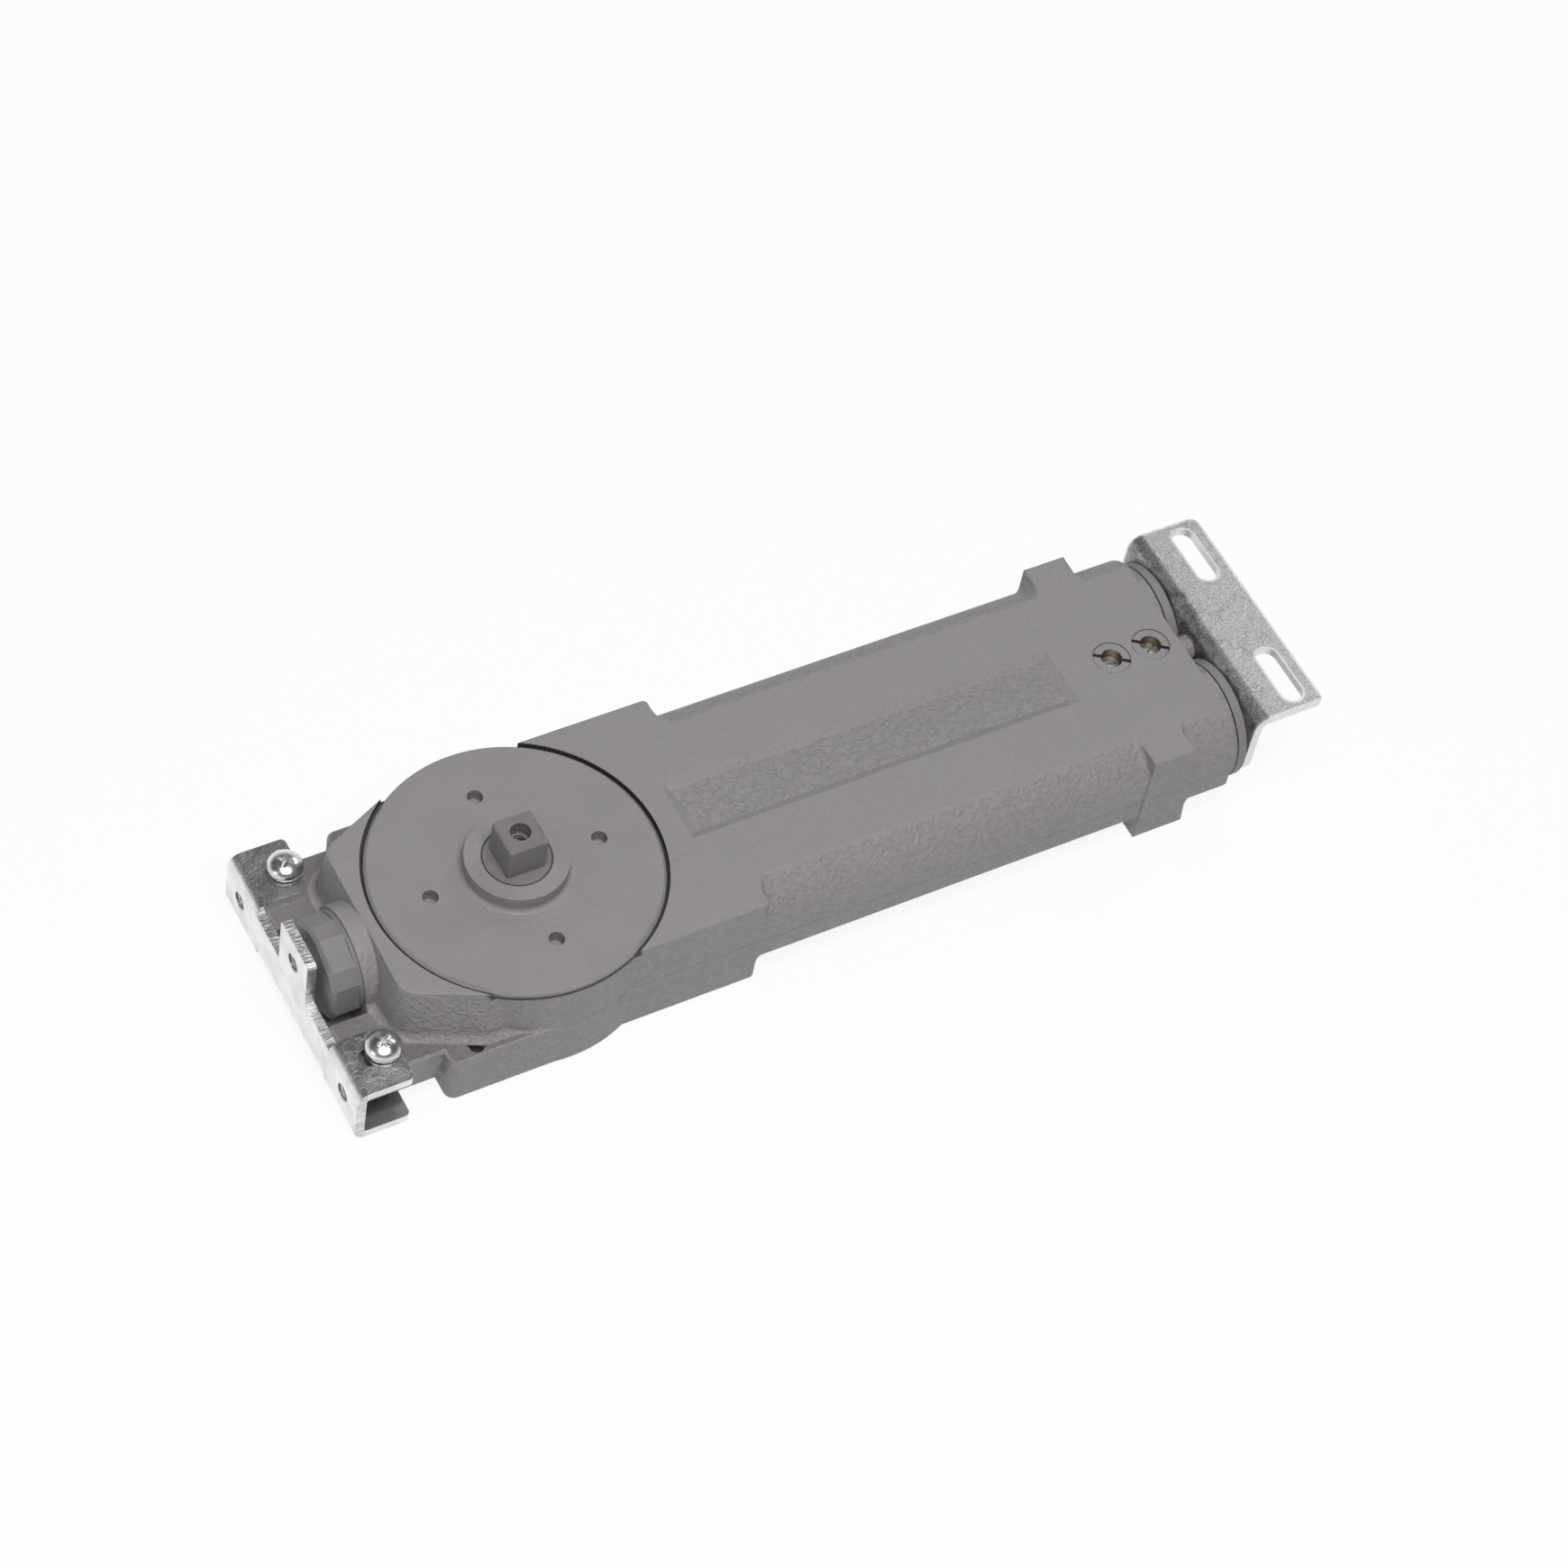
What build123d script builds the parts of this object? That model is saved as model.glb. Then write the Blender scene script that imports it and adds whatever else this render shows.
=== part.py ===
from build123d import *
import os
from math import acos, asin, cos, degrees, pi, radians, sin, sqrt, tan

os.makedirs("parts", exist_ok=True)

# A concealed closer for a door hung under a transom tube. Lengths are millimetres and angles are degrees.
# The origin is on the spindle axis at the flat base. X runs along the two bores, Z is up the spindle.

# Cast housing
body_height = 35.5
block_half_width = 37.5
block_end_x = 58.5
step_corner_radius = 1.5
step_fillet = 3.5
bore_offset_y = 19.15
bore_height = body_height / 2
barrel_radius = 19.6
barrel_end_x = 211.0
spigot_radius = 17.5
spigot_length = 2.0
chamber_outer_radius = 41.3
ledge_height = 18.0
ledge_start_x = -37.0
ledge_corner_radius = 3.0
plateau_start_x = -45.2
plateau_half_width = 25.0
plateau_shoulder_x = -24.0
plateau_shoulder_half_width = 34.5
plateau_corner_radius = 6.0
plateau_draft = 8.0
plateau_root_fillet = 2.5
top_edge_fillet = 0.4
ledge_edge_fillet = 0.8
foot_edge_fillet = 1.0
hull_half_width = 21.5
web_gap = 0.7
shelf_start_x = -61.9
shelf_half_width = 36.0
shelf_underside = 6.5
shelf_corner_radius = 2.0
shelf_edge_cut = 0.8
lug_start_x = 181.5
lug_end_x = 194.8
lug_half_width = 37.8
lug_foot_spread = 3.0
lug_root_fillet = 2.0

# Bare name panel on the top face
panel_start_x = 48.9
panel_end_x = 172.7
panel_half_width = 9.9
panel_depth = 1.6
panel_wall_angle = 58.0

# Chamber around the spindle
chamber_radius = 36.0
chamber_floor = 7.0
pocket_end_x = -44.0
pocket_half_width = 17.5
pocket_half_height = 8.3
bore_start_x = 20.0
rim_gap = 1.0
rim_depth = 2.0
cover_thread_radius = 38.0
cover_thread_length = 7.0

# Cover
cover_edge_step = 0.3
cover_chamfer = 0.8
thread_gap = 0.05
wrench_hole_circle_radius = 25.3
wrench_hole_radius = 2.25
wrench_hole_depth = 4.0
collar_radius = 14.45
collar_height = 5.1
collar_fillet = 1.5
spindle_window_gap = 0.15
cover_seal_inner_radius = 38.5
cover_seal_outer_radius = 40.0
cover_seal_height = 1.2

# Spindle
journal_radius = 9.4
running_gap = 0.05
square_across_flats = 11.5
square_height = 11.3
square_corner_radius = 0.6
square_chamfer = 0.5
square_bore_radius = 2.9
square_bore_depth = 4.5
arm_thread_radius = 2.1
arm_thread_depth = 16.0
thrust_flange_radius = 11.5
thrust_flange_height = 1.5
tail_radius = 6.0
end_float = 0.1
upper_bearing_wall = 3.5
lower_bearing_wall = 3.0
lower_bearing_height = 5.0
upper_bearing_height = 6.0
lip_seal_wall = 2.7
lip_seal_height = 4.4
lip_seal_cap = 1.2

# Rack and pinion
tooth_module = 1.5
pinion_teeth = 10
pressure_angle = 20.0
profile_shift = 0.45
pinion_tip_cut = 0.275
tooth_play = 0.15
rack_height = 14.5
pinion_overlap = 0.5
rack_half_teeth = 5
rack_left_x = -24.0
rack_back_thickness = 7.0
rack_spine_thickness = 16.0
rack_spine_start_x = 10.0

# Pistons, one in each bore
bore_radius = 14.5
piston_gap = 0.08
piston_start_x = 56.0
piston_length = 22.0
ring_groove_width = 2.5
ring_groove_depth = 1.4
ring_gap = 0.03
ring_side_gap = 0.1
check_bore_radius = 3.6
check_bore_depth = 7.0
check_hole_radius = 1.5
check_ball_radius = 2.4
ball_gap = 0.02
retainer_length = 1.5
retainer_hole_radius = 1.5

# Closing springs and their seats
spring_outer_radius = 12.8
spring_wire_radius = 1.9
spring_turns = 9
coil_steps = 16
wire_sides = 8
seat_thickness = 1.5
seat_edge_gap = 1.0
seat_hole_radius = 4.0

# End plugs
plug_inner_x = 204.5
plug_thread_radius = 15.5
plug_flange_length = 3.0
plug_seal_thickness = 0.5
plug_seal_inset = 0.2
plug_recess_radius = 6.0
plug_recess_depth = 4.0
plug_chamfer = 0.4
seal_gap = 0.1

# Hexagon plug on the left end
hex_plug_height = 20.0
hex_boss_radius = 15.4
hex_seat_x = -50.4
hex_across_flats = 27.0
hex_corner_apothem = 14.05
hex_head_length = 8.7
hex_washer_radius = 14.3
hex_washer_length = 1.0
hex_turn = 23.0
hex_thread_radius = 12.0
hex_seal_radius = 13.8
hex_seal_thickness = 1.0
hex_chamfer = 1.0

# Regulating valves between the bores
valve_names = ("sweep_valve", "latch_valve")
valve_x = (189.1, 202.2)
bushing_radius = 5.6
bushing_length = 8.0
bushing_inset = 0.1
bushing_rim_cut = 0.35
bushing_slot_width = 1.1
bushing_slot_depth = 1.3
needle_head_radius = 3.05
needle_head_length = 4.6
needle_recess = 3.0
needle_gap = 0.1
needle_slot_width = 0.8
needle_slot_depth = 1.0
needle_stem_radius = 2.0
needle_tip_radius = 1.3
needle_tip_length = 2.2
needle_taper = 12.0
stem_bore_radius = 3.2
stem_bore_drop = 0.3
passage_radius = 1.5
needle_ring_height = 1.6
needle_ring_gap = 0.03
needle_ring_base = 23.0
bushing_slot_angles = (-34.0, -37.0)
needle_slot_angles = (-19.0, 28.0)

# Channel bracket on the left shelf
channel_sheet = 2.8
channel_face_x = -65.0
channel_half_length = 42.0
channel_bend_radius = 3.8
channel_tab_reach = 16.5
top_tab_start_y = 23.7
bottom_tab_start_y = 22.0
plate_bottom = 4.6
plate_top = 18.3
ear_half_width = 8.4
ear_corner_radius = 1.5
ear_hole_height = 26.8
plate_hole_spacing = 66.8
plate_hole_height = 11.2
plate_hole_radius = 2.8
tab_corner_cut = 2.8
tab_corner_radius = 1.5
tab_slot_length = 9.6
tab_slot_shift = -2.0

# Screws of the channel bracket
screw_x = -53.0
screw_y = 31.5
screw_radius = 2.5
screw_hole_gap = 0.05
screw_bottom = 8.0
screw_head_radius = 5.1
screw_head_height = 3.7
screw_head_dome = 2.6
cross_length = 5.0
cross_width = 1.1
cross_depth = 1.8
flat_washer_radius = 5.0
flat_washer_thickness = 1.0
spring_washer_radius = 4.6
spring_washer_thickness = 1.3
spring_washer_split = 0.9
washer_hole_gap = 0.15

# Screw holes through the feet
foot_hole_x = -27.9
foot_hole_y = 37.2
foot_hole_radius = 2.1
foot_sink_radius = 2.8
foot_sink_depth = 1.2

# Angle bracket on the right end
angle_sheet = 2.6
angle_half_length = 36.2
angle_reach = 22.5
angle_drop = 23.5
angle_bend_radius = 4.5
angle_near_corner_radius = 1.5
angle_far_corner_radius = 3.0
angle_slot_x = 231.6
angle_slot_spacing = 47.4
angle_slot_width = 6.8
angle_slot_length = 20.0
angle_screw_spread = 19.4
angle_screw_radius = 2.0
angle_screw_length = 10.0
angle_screw_tip_gap = 0.3
angle_screw_head_radius = 3.5
angle_screw_head_height = 2.8
angle_screw_dome = 1.8
angle_boss_radius = 3.8

# Sizes that follow
sides = {"near": -1, "far": 1}
cover_flange_radius = chamber_outer_radius - cover_edge_step
ledge_half_width = chamber_outer_radius - cover_edge_step
rim_recess_radius = cover_flange_radius + rim_gap
flange_seat = body_height - rim_depth
cover_bottom = flange_seat - cover_thread_length
spigot_end_x = barrel_end_x + spigot_length
plug_face_x = spigot_end_x + plug_seal_thickness + plug_flange_length
piston_end_x = piston_start_x + piston_length
seat_face_x = plug_inner_x - seat_thickness
hub_top = body_height + collar_height
square_top = hub_top + square_height
window_radius = journal_radius + spindle_window_gap
upper_bearing_bottom = cover_bottom + 0.5
upper_bearing_radius = journal_radius + running_gap + upper_bearing_wall
lip_seal_radius = journal_radius + running_gap + lip_seal_wall
lower_bearing_radius = tail_radius + running_gap + lower_bearing_wall
lower_bearing_bottom = chamber_floor - lower_bearing_height
thrust_top = upper_bearing_bottom - end_float
thrust_bottom = thrust_top - thrust_flange_height

pitch_radius = tooth_module * pinion_teeth / 2
tooth_pitch = pi * tooth_module
rack_line = pitch_radius + profile_shift * tooth_module
rack_tip = rack_line - tooth_module
rack_root = rack_line + 1.25 * tooth_module
pinion_tip = pitch_radius + (1 + profile_shift) * tooth_module - pinion_tip_cut
pinion_root = pitch_radius - (1.25 - profile_shift) * tooth_module
rack_bottom = bore_height - rack_height / 2
pinion_bottom = rack_bottom - pinion_overlap

ring_groove_x = piston_start_x + (piston_length - ring_groove_width) / 2
ball_x = piston_end_x - check_bore_depth + sqrt(check_ball_radius**2 - check_hole_radius**2) + ball_gap
spring_mean_radius = spring_outer_radius - spring_wire_radius
spring_start_x = piston_end_x + spring_wire_radius
spring_length = seat_face_x - piston_end_x - 2 * spring_wire_radius

lip_seal_bottom = hub_top - lip_seal_cap - lip_seal_height
needle_shoulder = bore_height + passage_radius + 0.4
stem_bore_bottom = needle_shoulder - stem_bore_drop
channel_top = ledge_height + channel_sheet
channel_tab_end_x = channel_face_x + channel_tab_reach
screw_seat = channel_top + flat_washer_thickness + spring_washer_thickness


def involute(angle):
    """Involute function of an angle in radians."""
    return tan(angle) - angle


def tooth_outline(steps=6):
    """Half outline of one pinion tooth, from the root to the tip, as (radius, half angle) pairs."""
    base_radius = pitch_radius * cos(radians(pressure_angle))
    thickness = tooth_module * (pi / 2 + 2 * profile_shift * tan(radians(pressure_angle))) - tooth_play
    half_at_pitch = thickness / (2 * pitch_radius)
    outline = []
    for step in range(steps + 1):
        radius = base_radius + (pinion_tip - base_radius) * step / steps
        half = half_at_pitch + involute(radians(pressure_angle)) - involute(acos(min(1.0, base_radius / radius)))
        outline.append((radius, half))
    return outline


def polar(radius, angle):
    """Point at a radius and an angle in radians."""
    return (radius * cos(angle), radius * sin(angle))


# Lugs across the barrels, wider at the foot on the side of the end plugs
with BuildPart() as lugs:
    with BuildSketch(Plane.XZ):
        with BuildLine():
            Polyline(
                (lug_start_x, 0),
                (lug_end_x + lug_foot_spread, 0),
                (lug_end_x, body_height),
                (lug_start_x, body_height),
                close=True,
            )
        make_face()
    extrude(amount=lug_half_width, both=True)

# Housing: twin barrels, spindle block, chamber, left plateau with its ledge and shelf, and two lugs
with BuildPart() as housing:
    with BuildSketch(Plane.YZ.offset(block_end_x - 10)) as barrel_section:
        with Locations((-bore_offset_y, bore_height), (bore_offset_y, bore_height)):
            Circle(barrel_radius)
        with Locations((0, body_height / 2)):
            Rectangle(2 * bore_offset_y, body_height)
            Rectangle(2 * block_half_width, body_height, mode=Mode.INTERSECT)
    extrude(amount=barrel_end_x - block_end_x + 10)
    with BuildSketch() as block_plan:
        with Locations((block_end_x / 2, 0)):
            Rectangle(block_end_x, 2 * block_half_width)
        fillet(block_plan.vertices().sort_by(Axis.X)[-2:], step_corner_radius)
    extrude(amount=body_height)
    step_edges = housing.edges().filter_by_position(Axis.X, block_end_x - 0.01, block_end_x + 0.01)
    step_edges = step_edges.filter_by(lambda e: abs(e.center().Y) < block_half_width - step_corner_radius - 1)
    step_edges = step_edges.filter_by(lambda e: 0.01 < e.center().Z < body_height - 0.01)
    fillet(step_edges, step_fillet)
    with BuildSketch() as chamber_plan:
        Circle(chamber_outer_radius)
    extrude(amount=body_height)
    with BuildSketch(Plane.XY.offset(ledge_height)) as plateau_plan:
        with BuildLine():
            Polyline(
                (0, plateau_shoulder_half_width),
                (plateau_shoulder_x, plateau_shoulder_half_width),
                (plateau_start_x, plateau_half_width),
                (plateau_start_x, -plateau_half_width),
                (plateau_shoulder_x, -plateau_shoulder_half_width),
                (0, -plateau_shoulder_half_width),
                close=True,
            )
        make_face()
        offset(amount=(body_height - ledge_height) * tan(radians(plateau_draft)), kind=Kind.INTERSECTION)
        fillet(plateau_plan.vertices().sort_by(Axis.X)[:2], plateau_corner_radius + 2)
    extrude(amount=body_height - ledge_height, taper=plateau_draft)
    with BuildSketch() as ledge_plan:
        with Locations((ledge_start_x / 2, 0)):
            Rectangle(-ledge_start_x, 2 * ledge_half_width)
        fillet(ledge_plan.vertices().sort_by(Axis.X)[:2], ledge_corner_radius)
    extrude(amount=ledge_height)
    with BuildSketch() as hull_plan:
        with Locations((hex_seat_x / 2, 0)):
            Rectangle(-hex_seat_x, 2 * hull_half_width)
    extrude(amount=ledge_height)
    with BuildSketch(Plane.XY.offset(shelf_underside)) as shelf_plan:
        with Locations((shelf_start_x / 2, 0)):
            Rectangle(-shelf_start_x, 2 * shelf_half_width)
        fillet(shelf_plan.vertices().sort_by(Axis.X)[:2], shelf_corner_radius)
    extrude(amount=ledge_height - shelf_underside)
    shelf_edge = housing.edges().filter_by(Axis.Y).group_by(Axis.X)[0].sort_by(Axis.Z)[-1]
    chamfer(shelf_edge, shelf_edge_cut)
    with BuildSketch(Plane.YZ.offset(hex_seat_x)) as boss_section:
        with Locations((0, hex_plug_height)):
            Circle(hex_boss_radius)
    extrude(amount=-hex_seat_x)
    add(lugs.part)
    lug_edges = housing.edges().filter_by_position(Axis.X, lug_start_x - 0.01, lug_end_x + lug_foot_spread + 0.01)
    lug_roots = lug_edges.filter_by(GeomType.LINE, reverse=True).filter_by(lambda e: abs(e.center().Y) < lug_half_width)
    fillet(lug_roots, lug_root_fillet)
    with BuildSketch(Plane.YZ.offset(barrel_end_x)) as spigots:
        with Locations((-bore_offset_y, bore_height), (bore_offset_y, bore_height)):
            Circle(spigot_radius)
    extrude(amount=spigot_length)
    with BuildSketch(Plane.YZ.offset(barrel_end_x)) as screw_bosses:
        with Locations((0, bore_height)):
            with GridLocations(0, angle_screw_spread, 1, 2):
                Circle(angle_boss_radius)
    extrude(amount=plug_face_x - barrel_end_x)

    # Edges softened as a casting's are
    plateau_roots = housing.edges().filter_by_position(Axis.Z, ledge_height - 0.01, ledge_height + 0.01)
    plateau_roots = plateau_roots.filter_by(lambda e: hex_seat_x + 1 < e.center().X < -barrel_radius)
    plateau_roots = plateau_roots.filter_by(lambda e: abs(e.center().Y) < shelf_half_width - shelf_edge_cut - 0.1
                                            or e.center().X > ledge_start_x + 1)
    plateau_roots = plateau_roots.filter_by(lambda e: abs(e.center().Y) < block_half_width)
    fillet(plateau_roots, plateau_root_fillet)
    top_edges = housing.edges().filter_by_position(Axis.Z, body_height - 0.01, body_height + 0.01)
    fillet(top_edges, top_edge_fillet)
    foot_edges = housing.edges().filter_by_position(Axis.Z, -0.01, 0.01)
    fillet(foot_edges, foot_edge_fillet)
    ledge_edges = housing.edges().filter_by_position(Axis.Z, ledge_height - 0.01, ledge_height + 0.01)
    fillet(ledge_edges.filter_by(lambda e: abs(e.center().Y) > block_half_width), ledge_edge_fillet)

    # Hollows: cover seat, chamber, pocket and the two bores
    with BuildSketch(Plane.XY.offset(body_height)):
        Circle(rim_recess_radius)
    extrude(amount=-rim_depth, mode=Mode.SUBTRACT)
    with BuildSketch(Plane.XY.offset(flange_seat)):
        Circle(cover_seal_outer_radius)
    extrude(amount=-cover_seal_height, mode=Mode.SUBTRACT)
    with BuildSketch(Plane.XY.offset(flange_seat)):
        Circle(cover_seal_inner_radius)
        Circle(cover_thread_radius, mode=Mode.SUBTRACT)
    extrude(amount=-cover_seal_height)
    with BuildSketch(Plane.XY.offset(flange_seat)):
        Circle(cover_thread_radius)
    extrude(amount=-cover_thread_length - 0.5, mode=Mode.SUBTRACT)
    with BuildSketch(Plane.XY.offset(chamber_floor)):
        Circle(chamber_radius)
    extrude(amount=flange_seat - chamber_floor, mode=Mode.SUBTRACT)
    with BuildSketch(Plane.XY.offset(lower_bearing_bottom)):
        Circle(lower_bearing_radius)
    extrude(amount=lower_bearing_height, mode=Mode.SUBTRACT)
    with BuildSketch(Plane.YZ.offset(pocket_end_x)) as pocket_section:
        with Locations((0, bore_height)):
            Rectangle(2 * pocket_half_width, 2 * pocket_half_height)
    extrude(amount=-pocket_end_x - bore_start_x, mode=Mode.SUBTRACT)
    with BuildSketch(Plane.YZ.offset(bore_start_x)) as bore_section:
        with Locations((-bore_offset_y, bore_height), (bore_offset_y, bore_height)):
            Circle(bore_radius)
    extrude(amount=spigot_end_x - bore_start_x, mode=Mode.SUBTRACT)
    with BuildSketch(Plane.YZ.offset(plug_inner_x)) as plug_threads:
        with Locations((-bore_offset_y, bore_height), (bore_offset_y, bore_height)):
            Circle(plug_thread_radius + thread_gap)
    extrude(amount=spigot_end_x - plug_inner_x, mode=Mode.SUBTRACT)

    # Hexagon plug hole
    with BuildSketch(Plane.YZ.offset(hex_seat_x)):
        with Locations((0, hex_plug_height)):
            Circle(hex_thread_radius + thread_gap)
    extrude(amount=pocket_end_x - hex_seat_x + 1, mode=Mode.SUBTRACT)
    with BuildSketch(Plane.YZ.offset(hex_seat_x)):
        with Locations((0, hex_plug_height)):
            Circle(hex_seal_radius)
    extrude(amount=hex_seal_thickness, mode=Mode.SUBTRACT)
    with BuildSketch(Plane.XY) as shelf_slot:
        with Locations(((shelf_start_x + hex_seat_x) / 2 - 1, 0)):
            Rectangle(hex_seat_x - shelf_start_x + 2, 2 * (hex_boss_radius + 1.5))
    extrude(amount=body_height, mode=Mode.SUBTRACT)
    with BuildSketch() as web_plan:
        with Locations(((shelf_start_x + shelf_corner_radius + hex_seat_x) / 2, 0)):
            Rectangle(hex_seat_x - shelf_start_x - shelf_corner_radius, 2 * hull_half_width)
    extrude(amount=hex_plug_height - hex_washer_radius - web_gap)

    # Valve holes and the oil passages they throttle
    with BuildSketch(Plane.XY.offset(body_height)):
        with Locations(*[(x, 0) for x in valve_x]):
            Circle(bushing_radius + thread_gap)
    extrude(amount=-bushing_inset - bushing_length, mode=Mode.SUBTRACT)
    with BuildSketch(Plane.XY.offset(stem_bore_bottom)):
        with Locations(*[(x, 0) for x in valve_x]):
            Circle(stem_bore_radius)
    extrude(amount=body_height - stem_bore_bottom - 1, mode=Mode.SUBTRACT)
    with BuildSketch(Plane.XY.offset(bore_height)):
        with Locations(*[(x, 0) for x in valve_x]):
            Circle(passage_radius)
    extrude(amount=stem_bore_bottom - bore_height + 1, mode=Mode.SUBTRACT)
    with BuildSketch(Plane.XZ):
        with Locations(*[(x, bore_height) for x in valve_x]):
            Circle(passage_radius)
    extrude(amount=bore_offset_y - bore_radius + 1, both=True, mode=Mode.SUBTRACT)

    # Screw holes
    with BuildSketch(Plane.XY.offset(ledge_height)):
        with Locations(*[(screw_x, side * screw_y) for side in sides.values()]):
            Circle(screw_radius + screw_hole_gap)
    extrude(amount=shelf_underside - ledge_height, mode=Mode.SUBTRACT)
    with BuildSketch(Plane.XY):
        with Locations(*[(foot_hole_x, side * foot_hole_y) for side in sides.values()]):
            Circle(foot_hole_radius)
    extrude(amount=ledge_height, mode=Mode.SUBTRACT)
    with BuildSketch(Plane.XY.offset(ledge_height)):
        with Locations(*[(foot_hole_x, side * foot_hole_y) for side in sides.values()]):
            Circle(foot_sink_radius)
    extrude(amount=-foot_sink_depth, mode=Mode.SUBTRACT)
    with BuildSketch(Plane.YZ.offset(plug_face_x)):
        with Locations((0, bore_height)):
            with GridLocations(0, angle_screw_spread, 1, 2):
                Circle(angle_screw_radius + screw_hole_gap)
    extrude(amount=angle_sheet - angle_screw_length - angle_screw_tip_gap, mode=Mode.SUBTRACT)

    # Sunk name panel with sloped walls
    with BuildSketch(Plane.XY.offset(body_height)) as panel_top:
        with Locations(((panel_start_x + panel_end_x) / 2, 0)):
            Rectangle(panel_end_x - panel_start_x, 2 * panel_half_width)
    extrude(amount=-panel_depth, taper=panel_wall_angle, mode=Mode.SUBTRACT)
housing.part.label = "housing"
export_step(housing.part, "parts/housing.step")

# Cover: screwed-in disc with a raised collar around the spindle
with BuildPart() as cover:
    with BuildSketch(Plane.XY.offset(cover_bottom)):
        Circle(cover_thread_radius - thread_gap)
    extrude(amount=cover_thread_length)
    with BuildSketch(Plane.XY.offset(flange_seat)):
        Circle(cover_flange_radius)
    extrude(amount=rim_depth)
    chamfer(cover.edges().group_by(Axis.Z)[-1], cover_chamfer)
    with BuildSketch(Plane.XY.offset(body_height)):
        Circle(collar_radius)
    extrude(amount=collar_height)
    collar_root = cover.edges().filter_by(GeomType.CIRCLE).filter_by(lambda e: abs(e.radius - collar_radius) < 0.01)
    fillet(collar_root.sort_by(Axis.Z)[0], collar_fillet)
    with BuildSketch(Plane.XY.offset(cover_bottom)):
        Circle(window_radius)
    extrude(amount=hub_top - cover_bottom, mode=Mode.SUBTRACT)
    with BuildSketch(Plane.XY.offset(cover_bottom)):
        Circle(upper_bearing_radius)
    extrude(amount=upper_bearing_bottom + upper_bearing_height - cover_bottom, mode=Mode.SUBTRACT)
    with BuildSketch(Plane.XY.offset(lip_seal_bottom)):
        Circle(lip_seal_radius)
    extrude(amount=lip_seal_height, mode=Mode.SUBTRACT)
    with BuildSketch(Plane.XY.offset(body_height)):
        with PolarLocations(wrench_hole_circle_radius, 4):
            Circle(wrench_hole_radius)
    extrude(amount=-wrench_hole_depth, mode=Mode.SUBTRACT)
cover.part.label = "cover"
export_step(cover.part, "parts/cover.step")

# Flat ring seal under the cover flange
with BuildPart() as cover_seal:
    with BuildSketch(Plane.XY.offset(flange_seat - cover_seal_height)):
        Circle(cover_seal_outer_radius)
        Circle(cover_seal_inner_radius, mode=Mode.SUBTRACT)
    extrude(amount=cover_seal_height)
cover_seal.part.label = "cover_seal"
export_step(cover_seal.part, "parts/cover_seal.step")

# Spindle: tail journal, pinion, thrust flange, upper journal and drive square
with BuildPart() as spindle:
    with BuildSketch(Plane.XY.offset(lower_bearing_bottom + end_float)):
        Circle(tail_radius)
    extrude(amount=pinion_bottom - lower_bearing_bottom - end_float)
    with BuildSketch(Plane.XY.offset(pinion_bottom)) as pinion_section:
        Circle(pinion_root)
        flank = tooth_outline()
        for tooth in range(pinion_teeth):
            middle = radians(90 + 360 * tooth / pinion_teeth)
            left = [polar(radius, middle + half) for radius, half in flank]
            right = [polar(radius, middle - half) for radius, half in reversed(flank)]
            root_left = polar(pinion_root - 0.5, middle + flank[0][1])
            root_right = polar(pinion_root - 0.5, middle - flank[0][1])
            with BuildLine():
                Spline(*left)
                Line(left[-1], right[0])
                Spline(*right)
                Polyline(right[-1], root_right, root_left, left[0])
            make_face()
    extrude(amount=thrust_bottom - pinion_bottom)
    with BuildSketch(Plane.XY.offset(thrust_bottom)):
        Circle(thrust_flange_radius)
    extrude(amount=thrust_flange_height)
    with BuildSketch(Plane.XY.offset(thrust_top)):
        Circle(journal_radius)
    extrude(amount=hub_top - thrust_top)
    with BuildSketch(Plane.XY.offset(hub_top)) as square_section:
        RectangleRounded(square_across_flats, square_across_flats, square_corner_radius)
    extrude(amount=square_height)
    chamfer(spindle.faces().sort_by(Axis.Z)[-1].edges(), square_chamfer)
    with BuildSketch(Plane.XY.offset(square_top)):
        Circle(square_bore_radius)
    extrude(amount=-square_bore_depth, mode=Mode.SUBTRACT)
    with BuildSketch(Plane.XY.offset(square_top)):
        Circle(arm_thread_radius)
    extrude(amount=-arm_thread_depth, mode=Mode.SUBTRACT)
spindle.part.label = "spindle"
export_step(spindle.part, "parts/spindle.step")


def ring(name, inner_radius, outer_radius, bottom, height, place=Plane.XY):
    """Plain ring whose lower face lies at a height above the given plane."""
    with BuildPart() as piece:
        with BuildSketch(place.offset(bottom)):
            Circle(outer_radius)
            Circle(inner_radius, mode=Mode.SUBTRACT)
        extrude(amount=height)
    piece.part.label = name
    export_step(piece.part, f"parts/{name}.step")


# Spindle bearings and lip seal
ring("upper_bearing", journal_radius + running_gap, upper_bearing_radius, upper_bearing_bottom, upper_bearing_height)
ring("lower_bearing", tail_radius + running_gap, lower_bearing_radius, lower_bearing_bottom, lower_bearing_height)
ring("spindle_seal", journal_radius + running_gap, lip_seal_radius, lip_seal_bottom, lip_seal_height)

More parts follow.
